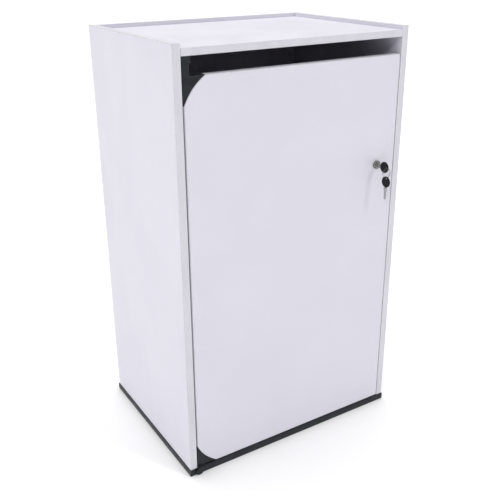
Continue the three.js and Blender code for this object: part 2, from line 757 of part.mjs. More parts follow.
function lockHousing() {
  const { head, headHeight, barrel, length, bore, counterbore } = LOCK;
  const chamfer = 0.9;
  const body = turned(
    [
      [0, -headHeight],
      [head - chamfer, -headHeight],
      [head, chamfer - headHeight],
      [head, -SEAT],
      [barrel, -SEAT],
      [barrel, length],
      [0, length],
    ],
    32,
  );
  const hollow = turned(
    [
      [0, -headHeight - 1],
      [counterbore, -headHeight - 1],
      [counterbore, PLUG.flangeHeight - headHeight + LOOSE],
      [bore, PLUG.flangeHeight - headHeight + LOOSE],
      [bore, length + 1],
      [0, length + 1],
    ],
    32,
  );
  return cut(body, hollow);
}

function lockNut() {
  const start = BOARD + SEAT;
  const hexagon = rod([0, 0, start], [0, 0, start + NUT.thickness], NUT.radius, 6);
  return cut(hexagon, rod([0, 0, start - 1], [0, 0, start + NUT.thickness + 1], LOCK.barrel + LOOSE, 32));
}

function lockPlug() {
  const face = -LOCK.headHeight - PLUG.proud;
  const body = turned(
    [
      [0, face],
      [PLUG.flange - 0.4, face],
      [PLUG.flange, face + 0.4],
      [PLUG.flange, PLUG.flangeHeight - LOCK.headHeight],
      [PLUG.radius, PLUG.flangeHeight - LOCK.headHeight],
      [PLUG.radius, PLUG.end],
      [0, PLUG.end],
    ],
    32,
  );
  const tail = block([-PLUG.tail, -PLUG.tail, PLUG.end - 1], [PLUG.tail, PLUG.tail, PLUG.tailEnd]);
  const slot = block(
    [-KEYWAY.width / 2, -KEYWAY.height / 2, face - 1],
    [KEYWAY.width / 2, KEYWAY.height / 2, face + KEYWAY.depth],
  );
  const screwStart = PLUG.tailEnd - CAM_SCREW.length + CAM_SCREW.headHeight;
  const pilot = rod([0, 0, screwStart], [0, 0, PLUG.tailEnd + 1], CAM_SCREW.shank + LOOSE, 12);
  return cut(join(body, tail), slot, pilot);
}

// The bar points up at rest; the lock's local frame has X across and Y down here.
function lockCam() {
  const { width, reach, thickness, start, tipWidth, corner } = LOCK_CAM;
  const cornerX = tipWidth / 2 - corner;
  const cornerY = corner - reach;
  const bar = new THREE.Shape();
  bar.absarc(0, 0, width / 2, 0, Math.PI, false);
  bar.lineTo(-tipWidth / 2, cornerY);
  bar.absarc(-cornerX, cornerY, corner, Math.PI, Math.PI * 1.5, false);
  bar.lineTo(cornerX, -reach);
  bar.absarc(cornerX, cornerY, corner, Math.PI * 1.5, Math.PI * 2, false);
  const options = { depth: thickness, bevelEnabled: false, curveSegments: 10 };
  const plain = new THREE.ExtrudeGeometry(bar, options).translate(0, 0, start);
  const hole = PLUG.tail + LOOSE;
  return cut(plain, block([-hole, -hole, start - 1], [hole, hole, start + thickness + 1]));
}

// ---- Keys: the bow's plane is upright, and the blade points towards +Z of the key's own frame ----

function keyBow() {
  const { radius, thickness, rim, dish, hole, holeOffset } = BOW;
  const half = thickness / 2;
  const centre = -BOW_CENTRE;
  const eyeZ = centre - holeOffset;
  const disc = rod([-half, 0, centre], [half, 0, centre], radius, 40);
  const dishes = [-1, 1].map((side) =>
    rod([side * (half - dish), 0, centre], [side * (half + 1), 0, centre], radius - rim, 40),
  );
  const pad = rod([-half, 0, eyeZ], [half, 0, eyeZ], BOW.pad, 24);
  const eye = rod([-half - 1, 0, eyeZ], [half + 1, 0, eyeZ], hole, 24);
  const slotX = TANG.thickness / 2 + TANG.slack;
  const slotY = TANG.width / 2 + TANG.slack;
  const slot = block(
    [-slotX, -slotY, centre + radius - TANG.length],
    [slotX, slotY, centre + radius + 1],
  );
  const dished = cut(disc, ...dishes);
  return cut(join(dished, pad), eye, slot);
}

function keyBlade() {
  const half = BLADE.thickness / 2;
  const face = -LOCK.headHeight - PLUG.proud;
  const shoulderStart = BOW.radius - BOW_CENTRE + LOOSE;
  const shoulderEnd = face - LOOSE;
  const tangEnd = BOW.radius - BOW_CENTRE - TANG.length + TANG.slack;
  const tip = face + BLADE.length;
  const tang = block(
    [-TANG.thickness / 2, -TANG.width / 2, tangEnd],
    [TANG.thickness / 2, TANG.width / 2, shoulderStart + 1],
  );
  const shoulder = block(
    [-half, -BLADE.shoulder / 2, shoulderStart],
    [half, BLADE.shoulder / 2, shoulderEnd],
  );
  const edge = BLADE.width / 2;
  const blade = outline([
    [-edge, shoulderEnd - 1],
    [edge, shoulderEnd - 1],
    [edge, tip - BLADE.tip],
    [edge - BLADE.tip, tip],
    [BLADE.tip - edge, tip],
    [-edge, tip - BLADE.tip],
  ]);
  const options = { depth: BLADE.thickness, bevelEnabled: false };
  const flat = new THREE.ExtrudeGeometry(blade, options).translate(0, 0, -half);
  flat.rotateX(Math.PI / 2).rotateZ(Math.PI / 2);
  const cuts = KEY_CUTS.depths.map((depth, i) => {
    const start = face + KEY_CUTS.first + i * KEY_CUTS.pitch;
    return block([-half - 1, edge - depth, start], [half + 1, edge + 1, start + KEY_CUTS.width]);
  });
  return cut(join(tang, shoulder, flat), ...cuts);
}

// A pair of bow and blade in a group whose +Z is the direction the blade points.
function addKey(group, bowName, bladeName) {
  part(group, bowName, keyBow(), BLACK_KEY);
  part(group, bladeName, keyBlade(), NICKEL);
}

// ---- Assembly ----

function addLock(group) {
  // Turns a frame whose +Z points inwards onto the lock's axis, with its -Y up.
  const axis = groupAt(group, LOCK_X, FRONT_Y, LOCK_Z);
  axis.rotation.x = -Math.PI / 2;
  part(axis, "lock_housing", lockHousing(), NICKEL);
  part(axis, "lock_nut", lockNut(), ZINC_STEEL);
  part(axis, "lock_plug", lockPlug(), NICKEL);
  part(axis, "lock_cam", lockCam(), ZINC_STEEL);
  const screwHead = PLUG.tailEnd + CAM_SCREW.headHeight + LOOSE;
  placed(axis, "cam_screw", panScrew(CAM_SCREW), ZINC_STEEL, [0, 0, screwHead], [0, 0, -1]);
  addKey(axis, "key_bow", "key_blade");
}

function addRingAndSpare(group) {
  const eyeY = FRONT_Y - BOW_CENTRE - BOW.holeOffset;
  const wireDrop = BOW.hole - RING.wire - RING_SLACK;
  const ringTop = LOCK_Z - wireDrop;
  const ring = new THREE.TorusGeometry(RING.radius, RING.wire, 8, 40).rotateX(Math.PI / 2);
  part(group, "key_ring", ring, NICKEL).position.set(LOCK_X, eyeY, ringTop - RING.radius);
  const spareEyeZ = ringTop - 2 * RING.radius - wireDrop;
  const spare = groupAt(group, LOCK_X, eyeY, spareEyeZ - BOW.holeOffset - BOW_CENTRE);
  spare.rotation.x = Math.PI;
  addKey(spare, "spare_key_bow", "spare_key_blade");
}

const cabinet = new THREE.Group();
for (const { name, sign } of SIDES) {
  part(cabinet, `side_panel_${name}`, sidePanel(sign), WHITE_LAMINATE);
}
part(cabinet, "top_panel", topPanel(), WHITE_LAMINATE);
part(cabinet, "back_panel", backPanel(), WHITE_LAMINATE);
part(cabinet, "base_board", baseBoard(), BLACK_LAMINATE);
addEdging(cabinet);
addConnectors(cabinet);
addFixedHinges(cabinet);
addCatchSide(cabinet);
addDoor(cabinet);
addLock(cabinet);
addRingAndSpare(cabinet);

export default cabinet;
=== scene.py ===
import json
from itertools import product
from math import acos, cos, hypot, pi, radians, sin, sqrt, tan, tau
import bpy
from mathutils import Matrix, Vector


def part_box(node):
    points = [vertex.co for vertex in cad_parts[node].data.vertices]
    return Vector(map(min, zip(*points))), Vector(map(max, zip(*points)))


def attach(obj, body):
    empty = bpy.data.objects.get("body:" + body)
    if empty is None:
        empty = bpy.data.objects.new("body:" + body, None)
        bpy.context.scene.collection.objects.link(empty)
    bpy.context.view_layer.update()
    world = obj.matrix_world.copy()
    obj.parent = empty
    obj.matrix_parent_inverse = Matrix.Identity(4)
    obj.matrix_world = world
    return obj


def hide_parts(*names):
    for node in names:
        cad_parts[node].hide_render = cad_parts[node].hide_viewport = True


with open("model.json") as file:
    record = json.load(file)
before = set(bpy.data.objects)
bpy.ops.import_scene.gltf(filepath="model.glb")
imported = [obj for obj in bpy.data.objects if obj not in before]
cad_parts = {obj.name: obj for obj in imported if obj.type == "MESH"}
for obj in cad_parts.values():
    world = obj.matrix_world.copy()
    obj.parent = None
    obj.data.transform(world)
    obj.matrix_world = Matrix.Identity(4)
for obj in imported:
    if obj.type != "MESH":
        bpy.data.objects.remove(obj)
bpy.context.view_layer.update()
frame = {"record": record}

# The looks of a white drop cabinet: laminated boards with edge bands, black moulded hinge pieces and
# base edging, a nickel cam lock and its two keys. Shapes are drawn in millimetres and scaled to metres
# when they are shown. The places come from the frame; the sizes below are the object's own.

from types import SimpleNamespace as Sizes

import bmesh
import bpy
from mathutils import Matrix, Vector

MM = 0.001
RECORD = frame["record"]
BODY_OF = {node: body for body, nodes in RECORD["behaviour"]["bodies"].items() for node in nodes}
SLOT_OF = {row["node"]: row["material_slot"] for row in RECORD["subparts"]}

# Boards
BAND = 1.0  # thickness of the edge bands
BAND_ROUND = 0.8
BAND_GAP = 0.03
SEAM = 0.12
DOOR_CORNER = Sizes(width=46, height=55, radius=118, gap=0.8, recess=0.6, tip=0.4)
SEAT = 0.2  # gap between pieces that are fixed face to face
LOOSE = 0.3  # radial gap of a pin, screw or plug in its hole
PAST = 1  # how far a cutting tool, or an end that is buried in its neighbour, runs past a face

# Base edging, drawn with x outwards from the base board's edge and y up
EDGING = Sizes(lip=1.1, lip_round=0.35, crown=2.3, height=15.9)
SPINE = Sizes(width=2.0, depth=5.2, nose=0.5, barb=0.3, barbs=(-1.5, -3.2))
GROOVE = Sizes(height=3.0, depth=5.6)
MITRE_GAP = 0.15
MITRE_LIMIT = 0.2  # the sharpest mitre's cosine

# Fasteners
BASE_SCREW = Sizes(length=50, shank=2.5, head=5, head_height=3)
HINGE_SCREW = Sizes(length=13, shank=1.8, head=3.8, head_height=2.2)
CORNER_SCREW = Sizes(length=14, shank=1.8, head=3.8, head_height=2.2)
STRIKE_SCREW = Sizes(length=13, shank=1.8, head=3.6, head_height=2)
CAM_SCREW = Sizes(length=9, shank=1.3, head=4, head_height=2.4)
SCREW_CORE = 0.72  # radius under the thread, as a share of the shank's
SCREW_SIDES = 24
SCREW_TURN = Sizes(first=23, step=37)  # how far each head is turned, in degrees
RECESS = Sizes(reach=0.55, half_width=0.14)  # as shares of the head's radius
RECESS_TAPER = (0.55, 0.75)  # the floor's length and width, as shares of the mouth's
CAM_BOLT = Sizes(grip=11, thread=2.8, shank=3, neck=1.8, head=3.3, bore=4.2)
CAM_BOLT_THREAD = Sizes(point=1.4, root=1.9, pitch=2.0)
CAM_BOLT_STATIONS = Sizes(neck=27, head=30, head_end=32, tip=33)
CAM_MOUTH = 4  # radius of the drum's side mouth
CAM_SLOT = (2.1, 1.6, 0.5)  # inner and outer distance from the drum's rim, and depth
DOWEL = Sizes(radius=4, flute=0.3, flutes=16, end=3.0)

# Hinges and corner plates
PIN_RADIUS = 2.5
PIN_REACH = 28
POST = Sizes(width=14, depth=11, round=1.0, overlap=2)
CORNER_LIFT = 1.5
FLANGE = Sizes(thickness=3, width=72, height=80, tip=22, round=4)
TOP_BLOCK = Sizes(depth=20, round=1.2, flange=3, tail_round=5)
TAB = Sizes(depth=26, thickness=2.5, setback=0.5, rounds=(0, 1, 3, 3))
LEG = Sizes(width=11, thickness=3.7, gap=2.1, bulge=4.8, shoulder=14, waist=8, foot=1)

# Catch side
STRIKE = Sizes(thickness=1.6, bend=1.0, corner=3.0)
STOP_ROUND = 3  # radius of the door stop's corners

# Lock, about its own axis: z = 0 is the door's front face and +z is inwards
LOCK = Sizes(head=9.2, front=-5.0, barrel=8.0, flat=7.1, end=20.2, bore=6.3)
LOCK_THREAD = Sizes(start=1.5, depth=0.45, steps=6)  # its pitch is 1, and steps rings make a turn
LOCK_SIDES = 96
LOCK_COUNTERBORE = Sizes(radius=7.2, depth=1.3)
NUT = Sizes(radius=12.6, start=16.2, thickness=3.5)
PLUG = Sizes(face=-5.4, flange=6.9, flange_end=-4.0, radius=6, end=20.6)
PLUG_TAIL = Sizes(half=2.5, round=0.5, end=23.4)
KEYWAY = Sizes(width=2.6, height=6.8, depth=20)
LOCK_CAM = Sizes(width=16, reach=38, thickness=2, start=20.9, tip_width=12.8, corner=4)

# Keys, about their own axis: +z is the way the blade points
BOW = Sizes(radius=12, centre=-26.5, half=1.6, rim=2.4, dish=0.4)
EYE = Sizes(offset=7.6, radius=2.0, pad=3.7)
TANG = Sizes(half=0.5, width=6, length=7, slack=0.3)
BLADE = Sizes(half=1.0, width=6.2, tip=2, end=13.0)
SHOULDER = Sizes(width=9, start=-14.2, end=-5.7, round=1.0)
KEY_CUTS = ((-1.6, 0.8), (1.9, 1.4), (5.4, 0.8), (8.9, 1.4))  # middle and depth of each notch
NOTCH = Sizes(floor=0.35, slope=0.8)  # half the width of a notch's floor, and its sides' run to depth
MILLED = Sizes(depth=0.4, half=0.55, spread=-0.9, shift=-0.3, start=0.6)  # grooves in its faces
RING = Sizes(radius=10.4, wire=0.34, turn_gap=0.35, jog=14, start=200)  # angles in degrees

# How far the sharp edges of each solid piece are rounded
EDGE = {
    "cam_fitting": 0.12,
    "hinge_bracket_top": 0.4,
    "hinge_bracket_bottom": 0.55,
    "corner_plate": 0.35,
    "strike_plate": 0.18,
    "door_stop": 0.6,
    "lock_nut": 0.12,
    "lock_plug": 0.15,
    "lock_cam": 0.25,
    "key_blade": 0.1,
}

# Meshes, with angles in degrees
DOUBLED = 0.002  # points nearer than this are one
FLAT_ANGLE = 0.4  # faces nearer than this to one plane are one
SOFT_ANGLE = 32  # sharper edges than this are rounded
SHARP_ANGLE = 40  # sharper edges than this are shaded as creases
NORMAL_WEIGHT = 80  # how much a large face counts in the shading of its edges
FACE_TILT = 0.3  # a board's face points at least this much across the board

# Noise
NOISE_SPREAD = (0.3, 0.7)  # most of a noise lies between these
EDGE_WEAR_AND_HIGHLIGHT_NOISE = (180, 3)  # the scale and detail of the outline of the edges' tone: worn edges, and on the nylon partly a painted highlight


class Box:
    """A CAD node's box at rest, in millimetres."""

    def __init__(self, node):
        low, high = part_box(node)
        self.low = low / MM
        self.high = high / MM
        self.middle = (self.low + self.high) / 2
        self.size = self.high - self.low
        self.corners = (*self.low, *self.high)


# ---- Materials ----


class Nodes:
    """A shader node tree being filled in."""

    def __init__(self, tree):
        self.tree = tree

    def add(self, kind, inputs=None, output=0, **settings):
        """A new node's output. The inputs may be values or other nodes' outputs."""
        node = self.tree.nodes.new("ShaderNode" + kind)
        for name, value in settings.items():
            setattr(node, name, value)
        for socket, value in (inputs or {}).items():
            if isinstance(value, bpy.types.NodeSocket):
                self.tree.links.new(value, node.inputs[socket])
            else:
                node.inputs[socket].default_value = value
        return node.outputs[output]

    def math(self, operation, first, second):
        return self.add("Math", {0: first, 1: second}, operation=operation)

    def vector(self, operation, first, second, output=0):
        return self.add("VectorMath", {0: first, 1: second}, output, operation=operation)


class Finish(Nodes):
    """A material being made. Lengths are in metres, noise scales in cells per metre."""

    def __init__(self, name, **values):
        self.material = bpy.data.materials.new(name)
        self.material.use_nodes = True
        super().__init__(self.material.node_tree)
        self.shader = self.tree.nodes["Principled BSDF"]
        for socket, value in values.items():
            self.shader.inputs[socket.replace("_", " ")].default_value = value
        self.place = self.add("TexCoord", output="Object")

    def noise(self, scale, detail, stretch=(1, 1, 1), distortion=0):
        """Noise from 0 to 1, drawn out along an axis by a stretch under 1."""
        where = self.add("Mapping", {"Vector": self.place, "Scale": stretch})
        inputs = {"Vector": where, "Scale": scale, "Detail": detail, "Distortion": distortion}
        return self.add("TexNoise", inputs, "Fac")

    def between(self, value, low, high, start=0.0, end=1.0):
        """Maps value from low..high smoothly to start..end, and holds it there."""
        inputs = {"Value": value, "From Min": low, "From Max": high, "To Min": start, "To Max": end}
        return self.add("MapRange", inputs, interpolation_type="SMOOTHSTEP")

    def clouds(self, noise, start=0.0, end=1.0):
        """Noise spread out over start..end."""
        return self.between(self.noise(*noise), *NOISE_SPREAD, start, end)

    def mix(self, factor, first, second):
        """Two colours mixed by a factor."""
        inputs = {0: factor}
        for socket, colour in ((6, first), (7, second)):
            inputs[socket] = (*colour, 1) if isinstance(colour, tuple) else colour
        return self.add("Mix", inputs, 2, data_type="RGBA")

    def edges(self, reach):
        """1 along the edges of the piece's own box, falling unevenly to 0 within a reach."""
        corners = []
        for name in ("low", "high"):
            settings = {"attribute_type": "OBJECT", "attribute_name": name}
            corners.append(self.add("Attribute", output="Vector", **settings))
        inside = self.vector("SUBTRACT", self.place, corners[0])
        left = self.vector("SUBTRACT", corners[1], self.place)
        nearest = self.vector("MINIMUM", inside, left)
        x, y, z = self.add("SeparateXYZ", {0: nearest}).node.outputs
        # The middle one of the three distances to the box's faces is the distance to its nearest edge.
        operations = ("ADD", "MAXIMUM", "MINIMUM")
        total, most, least = (self.math(name, self.math(name, x, y), z) for name in operations)
        edge = self.math("SUBTRACT", self.math("SUBTRACT", total, most), least)
        ragged = self.math("ADD", edge, self.clouds(EDGE_WEAR_AND_HIGHLIGHT_NOISE, -reach, reach))
        return self.between(ragged, 0.0, reach, 1.0, 0.0)

    def link(self, socket, name):
        self.tree.links.new(socket, self.shader.inputs[name])

    def bump(self, height, distance, strength):
        """Bumps of that height, on top of any bumps already made."""
        inputs = {"Height": height, "Distance": distance, "Strength": strength}
        normal = self.shader.inputs["Normal"]
        if normal.is_linked:
            inputs["Normal"] = normal.links[0].from_socket
        self.link(self.add("Bump", inputs), "Normal")


def surface(name, tones, cloud, rough, bumps, marks=None, edge_wear_and_highlight=None, **shader):
    """A finish with two clouded tones, and roughness and bumps that vary.

    marks is the noise, its start and end, strength and colour of scattered marks, and the last argument
    the reach, strength and colour of the edges' tone: worn edges, and on the nylon partly a painted
    highlight. rough is a noise and two values; each bump a noise, height and strength. A noise is
    (scale, detail, stretch, distortion), shorter where the rest are plain.
    """
    finish = Finish(name, **shader)
    colour = finish.mix(finish.clouds(cloud), *tones)
    if marks:
        noise, start, end, strength, tone = marks
        colour = finish.mix(finish.between(finish.noise(*noise), start, end, 0.0, strength), colour, tone)
    if edge_wear_and_highlight:
        reach, strength, tone = edge_wear_and_highlight
        colour = finish.mix(finish.math("MULTIPLY", finish.edges(reach), strength), colour, tone)
    finish.link(colour, "Base Color")
    finish.link(finish.clouds(*rough), "Roughness")
    for noise, height, strength in bumps:
        finish.bump(finish.noise(*noise), height, strength)
    return finish


def white_laminate():
    """Melamine facing: a cool white with a fine pearl texture, faint clouds and handling marks."""
    return surface(
        "white_laminate",
        tones=((0.735, 0.72, 0.80), (0.755, 0.74, 0.82)),
        cloud=(5, 3, (1, 1, 1), 0.6),
        marks=((1400, 1), 0.62, 0.75, 0.35, (0.67, 0.66, 0.735)),
        edge_wear_and_highlight=(0.0022, 0.3, (0.6, 0.58, 0.62)),
        rough=((14, 4, (1, 1, 0.35), 1.2), 0.36, 0.5),
        bumps=[((620, 2), 0.00006, 0.5), ((90, 2), 0.00012, 0.25)],
        Specular_IOR_Level=0.45,
    )


def white_band():
    """Edge banding: plain plastic, a shade greyer than the faces, with faint lines along its run."""
    return surface(
        "white_band",
        tones=((0.67, 0.66, 0.72), (0.71, 0.70, 0.765)),
        cloud=(30, 3, (1, 1, 0.3)),
        edge_wear_and_highlight=(0.0012, 0.35, (0.56, 0.54, 0.58)),
        rough=((60, 3), 0.4, 0.52),
        bumps=[((900, 2, (1, 1, 0.2)), 0.00005, 0.4)],
        Specular_IOR_Level=0.4,
    )


def chipboard():
    """Raw board edges and hole walls: pressed wood chips."""
    finish = surface(
        "chipboard",
        tones=((0.3, 0.2, 0.1), (0.55, 0.4, 0.24)),
        cloud=(900, 3),
        rough=((500, 2), 0.8, 0.95),
        bumps=[((1500, 3), 0.0002, 0.5)],
        Specular_IOR_Level=0.15,
    )
    chips = finish.add("TexVoronoi", {"Vector": finish.place, "Scale": 420}).node.outputs
    base = finish.shader.inputs["Base Color"].links[0].from_socket
    tone = finish.between(chips["Color"], 0.1, 0.9, 0.0, 0.7)
    finish.link(finish.mix(tone, base, (0.66, 0.5, 0.31)), "Base Color")
    finish.bump(chips["Distance"], 0.0004, 0.7)
    return finish


def black_laminate():
    """The base board's black melamine facing, a little dusty."""
    return surface(
        "black_laminate",
        tones=((0.016, 0.017, 0.02), (0.026, 0.028, 0.032)),
        cloud=(9, 4, (1, 1, 1), 0.4),
        marks=((2200, 2), 0.66, 0.78, 0.5, (0.09, 0.09, 0.095)),
        rough=((25, 3), 0.45, 0.62),
        bumps=[((700, 2), 0.00006, 0.5)],
        Specular_IOR_Level=0.4,
    )


def black_vinyl():
    """Base edging: extruded vinyl with faint draw lines, grey where it has been rubbed."""
    return surface(
        "black_vinyl",
        tones=((0.009, 0.011, 0.016), (0.016, 0.019, 0.026)),
        cloud=(40, 3),
        marks=((150, 4, (1, 1, 1), 0.8), 0.6, 0.8, 0.4, (0.055, 0.06, 0.072)),
        rough=((70, 3), 0.34, 0.5),
        bumps=[((1500, 2, (0.03, 0.03, 1)), 0.00008, 0.6), ((60, 2), 0.0003, 0.25)],
        Specular_IOR_Level=0.3,
    )


def black_nylon():
    """Moulded nylon: a spark-eroded texture, paler along its edges, partly rubbed wear and partly a painted
    highlight.
    """
    return surface(
        "black_nylon",
        tones=((0.010, 0.012, 0.015), (0.018, 0.021, 0.025)),
        cloud=(55, 3),
        # Painted highlight: the paler edges also stand in for the light that the rounded edges catch.
        edge_wear_and_highlight=(0.0009, 0.4, (0.06, 0.066, 0.075)),
        rough=((120, 3), 0.34, 0.5),
        bumps=[((2600, 2), 0.00005, 0.6), ((140, 2), 0.0001, 0.3)],
        Specular_IOR_Level=0.25,
    )


def zinc_steel():
    """Bright zinc plating: pale blue-grey with faint yellow clouds, dull spots and rolling lines."""
    return surface(
        "zinc_steel",
        tones=((0.56, 0.58, 0.61), (0.66, 0.65, 0.6)),
        cloud=(160, 4, (1, 1, 1), 0.7),
        marks=((700, 3), 0.62, 0.75, 0.6, (0.36, 0.37, 0.38)),
        rough=((350, 4), 0.26, 0.46),
        bumps=[((1800, 2, (1, 1, 0.15)), 0.00003, 0.6)],
        Metallic=1.0,
    )


def die_cast_zinc():
    """Raw die-cast zinc: dull and mottled."""
    return surface(
        "die_cast_zinc",
        tones=((0.34, 0.35, 0.37), (0.52, 0.53, 0.54)),
        cloud=(420, 5, (1, 1, 1), 0.5),
        rough=((600, 4), 0.42, 0.68),
        bumps=[((1300, 3), 0.00008, 0.6)],
        Metallic=1.0,
    )


def nickel():
    """Polished nickel, its tones painted dark for the dark reflections it shows, with fine scratches,
    duller in patches and bright where it has been rubbed.
    """
    return surface(
        "nickel",
        # Painted reflection: these tones are far darker than nickel, standing in for the dark surroundings
        # it reflects.
        tones=((0.2, 0.195, 0.185), (0.31, 0.305, 0.295)),
        cloud=(240, 4),
        marks=((1500, 2, (1, 0.08, 0.5)), 0.6, 0.72, 0.35, (0.42, 0.41, 0.39)),
        edge_wear_and_highlight=(0.0005, 0.35, (0.5, 0.49, 0.46)),
        rough=((300, 3), 0.1, 0.28),
        bumps=[((1700, 2, (1, 0.1, 0.6)), 0.00002, 0.5)],
        Metallic=1.0,
    )


def key_steel():
    """The key blades: nickel plate, brighter than the lock's painted-dark nickel, with fine scratches along
    the blade.
    """
    return surface(
        "key_steel",
        tones=((0.4, 0.4, 0.42), (0.56, 0.56, 0.57)),
        cloud=(300, 4),
        marks=((1500, 2, (1, 0.5, 0.08)), 0.6, 0.72, 0.4, (0.68, 0.68, 0.68)),
        rough=((300, 3), 0.2, 0.36),
        bumps=[((1700, 2, (1, 0.6, 0.1)), 0.00002, 0.5)],
        Metallic=1.0,
    )


def beech():
    """Raw beech: straight grain along X with the short dark flecks that beech has."""
    return surface(
        "beech",
        tones=((0.5, 0.32, 0.17), (0.68, 0.47, 0.28)),
        cloud=(900, 4, (0.06, 1, 1), 0.4),
        marks=((1500, 2, (0.2, 1, 1)), 0.6, 0.7, 0.7, (0.3, 0.17, 0.08)),
        rough=((400, 2), 0.7, 0.86),
        bumps=[((900, 4, (0.06, 1, 1), 0.4), 0.00015, 0.6)],
        Specular_IOR_Level=0.2,
    )


def key_plastic():
    """The key bows: smooth black plastic with scattered scuffs."""
    return surface(
        "key_plastic",
        tones=((0.005, 0.005, 0.006), (0.010, 0.010, 0.012)),
        cloud=(200, 3),
        marks=((800, 4, (1, 0.3, 1)), 0.58, 0.72, 0.5, (0.03, 0.03, 0.034)),
        rough=((450, 3), 0.3, 0.48),
        bumps=[((3000, 2), 0.00003, 0.6)],
        Specular_IOR_Level=0.2,
    )


MAKERS = (white_laminate, white_band, chipboard, black_laminate, black_vinyl, black_nylon)
MAKERS += (zinc_steel, die_cast_zinc, nickel, key_steel, beech, key_plastic)
FINISHES = {maker.__name__: maker().material for maker in MAKERS}


# ---- Mesh tools ----


def new_object(name, data):
    """An object in the scene."""
    made = bpy.data.objects.new(name, data)
    bpy.context.scene.collection.objects.link(made)
    return made


def build(bm, name="shape"):
    """An object from a bmesh, with its faces turned outwards."""
    bmesh.ops.recalc_face_normals(bm, faces=bm.faces)
    mesh = bpy.data.meshes.new(name)
    bm.to_mesh(mesh)
    bm.free()
    return new_object(name, mesh)


def loft(rings, closed=False):
    """A closed surface through rings of points: capped at both ends, or joined end to end."""
    bm = bmesh.new()
    rows = [[bm.verts.new(point) for point in ring] for ring in rings]
    spans = list(zip(rows, rows[1:]))
    if closed:
        spans.append((rows[-1], rows[0]))
    for near, far in spans:
        for i in range(len(near)):
            bm.faces.new((near[i - 1], near[i], far[i], far[i - 1]))
    if not closed:
        bm.faces.new(rows[0])
        bm.faces.new(rows[-1])
    return build(bm)


def axes(across, along, up):
    """A turn that lays drawing axes x, y and z along three world directions."""
    return Matrix((across, along, up)).transposed().to_4x4()


def move(piece, matrix):
    piece.data.transform(matrix)
    if matrix.determinant() < 0:
        piece.data.flip_normals()
    return piece


def prism(outline, low, high, turn=None):
    """An outline of (x, y) points, from z = low to z = high."""
    piece = loft([[(x, y, z) for x, y in outline] for z in (low, high)])
    return move(piece, turn) if turn else piece


def brick(low, high):
    """A block between two opposite corners."""
    return prism(rectangle(low, high), low[2], high[2])


def circle(radius, z, sides):
    """Points round the z axis. The radius may be a function of the angle and z."""
    points = []
    for i in range(sides):
        angle = tau * i / sides
        r = radius(angle, z) if callable(radius) else radius
        points.append((r * cos(angle), r * sin(angle), z))
    return points


def turned(profile, sides=48):
    """A solid of revolution about z through (radius, z) pairs, capped flat at both ends."""
    return loft([circle(r, z, sides) for r, z in profile])


def hollow_turned(profile, sides):
    """A ring about z whose section is a closed loop of (radius, z) pairs."""
    rings = []
    for i in range(sides):
        angle = tau * i / sides
        rings.append([(r * cos(angle), r * sin(angle), z) for r, z in profile])
    return loft(rings, closed=True)


def towards(direction):
    """The turn from +z to a direction."""
    turn = Vector((0, 0, 1)).rotation_difference(Vector(direction))
    return turn.to_matrix().to_4x4()


def at(*place):
    return Matrix.Translation(Vector(place))


def about_z(degrees):
    return Matrix.Rotation(radians(degrees), 4, "Z")


def peg(start, end, radius, sides=32):
    """A round bar between two points."""
    along = Vector(end) - Vector(start)
    piece = turned([(radius, 0), (radius, along.length)], sides)
    return move(piece, at(*start) @ towards(along))


def apply(piece):
    """Replaces the piece's mesh with what its modifiers make of it."""
    graph = bpy.context.evaluated_depsgraph_get()
    made = bpy.data.meshes.new_from_object(piece.evaluated_get(graph), depsgraph=graph)
    old = piece.data
    piece.modifiers.clear()
    piece.data = made
    bpy.data.meshes.remove(old)
    return piece


def combine(piece, operation, tools):
    for tool in tools:
        step = piece.modifiers.new(operation, "BOOLEAN")
        step.operation = operation
        step.solver = "EXACT"
        step.object = tool
    apply(piece)
    for tool in tools:
        discard(tool)
    return piece


def cut(piece, *tools):
    return combine(piece, "DIFFERENCE", tools)


def fuse(piece, *others):
    return combine(piece, "UNION", others)


def clip(piece, *others):
    return combine(piece, "INTERSECT", others)


def soften(piece, width, segments=3):
    """Rounds every sharp edge."""
    tidy(piece)
    bevel = piece.modifiers.new("soften", "BEVEL")
    bevel.width = width
    bevel.segments = segments
    bevel.limit_method = "ANGLE"
    bevel.angle_limit = radians(SOFT_ANGLE)
    bevel.miter_outer = "MITER_ARC"
    return apply(piece)


def tidy(piece):
    """Merges doubled points and flat neighbouring faces, so that edges are clean."""
    bm = bmesh.new()
    bm.from_mesh(piece.data)
    bmesh.ops.remove_doubles(bm, verts=bm.verts, dist=DOUBLED)
    bmesh.ops.dissolve_limit(bm, angle_limit=radians(FLAT_ANGLE), verts=bm.verts, edges=bm.edges)
    bm.to_mesh(piece.data)
    bm.free()


def join(first, *others):
    """One piece from several whose materials are already set."""
    with bpy.context.temp_override(active_object=first, selected_editable_objects=[first, *others]):
        bpy.ops.object.join()
    return first


def copy_of(piece):
    return new_object(piece.name, piece.data.copy())


def discard(piece):
    mesh = piece.data
    bpy.data.objects.remove(piece)
    bpy.data.meshes.remove(mesh)


def show(piece, node):
    """Scales a shape to metres and shows it in place of a CAD node, on that node's body."""
    piece.name = "fine_" + node
    piece.data.name = piece.name
    piece.data.transform(Matrix.Scale(MM, 4))
    piece.data.shade_smooth()
    piece.data.set_sharp_from_angle(angle=radians(SHARP_ANGLE))
    if not piece.data.materials:
        piece.data.materials.append(FINISHES[SLOT_OF[node]])
    # The edges' tone, worn edges and on the nylon partly a painted highlight, reads the node's box from the
    # piece.
    low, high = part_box(node)
    piece["low"], piece["high"] = list(low), list(high)
    weighted = piece.modifiers.new("normals", "WEIGHTED_NORMAL")
    weighted.keep_sharp = True
    weighted.weight = NORMAL_WEIGHT
    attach(piece, BODY_OF[node])
    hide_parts(node)


def show_copies(master, places):
    """Shows a copy of a shape in its place for each node, and discards the shape itself."""
    for node, place in places.items():
        show(move(copy_of(master), place), node)
    discard(master)


# ---- Boards ----

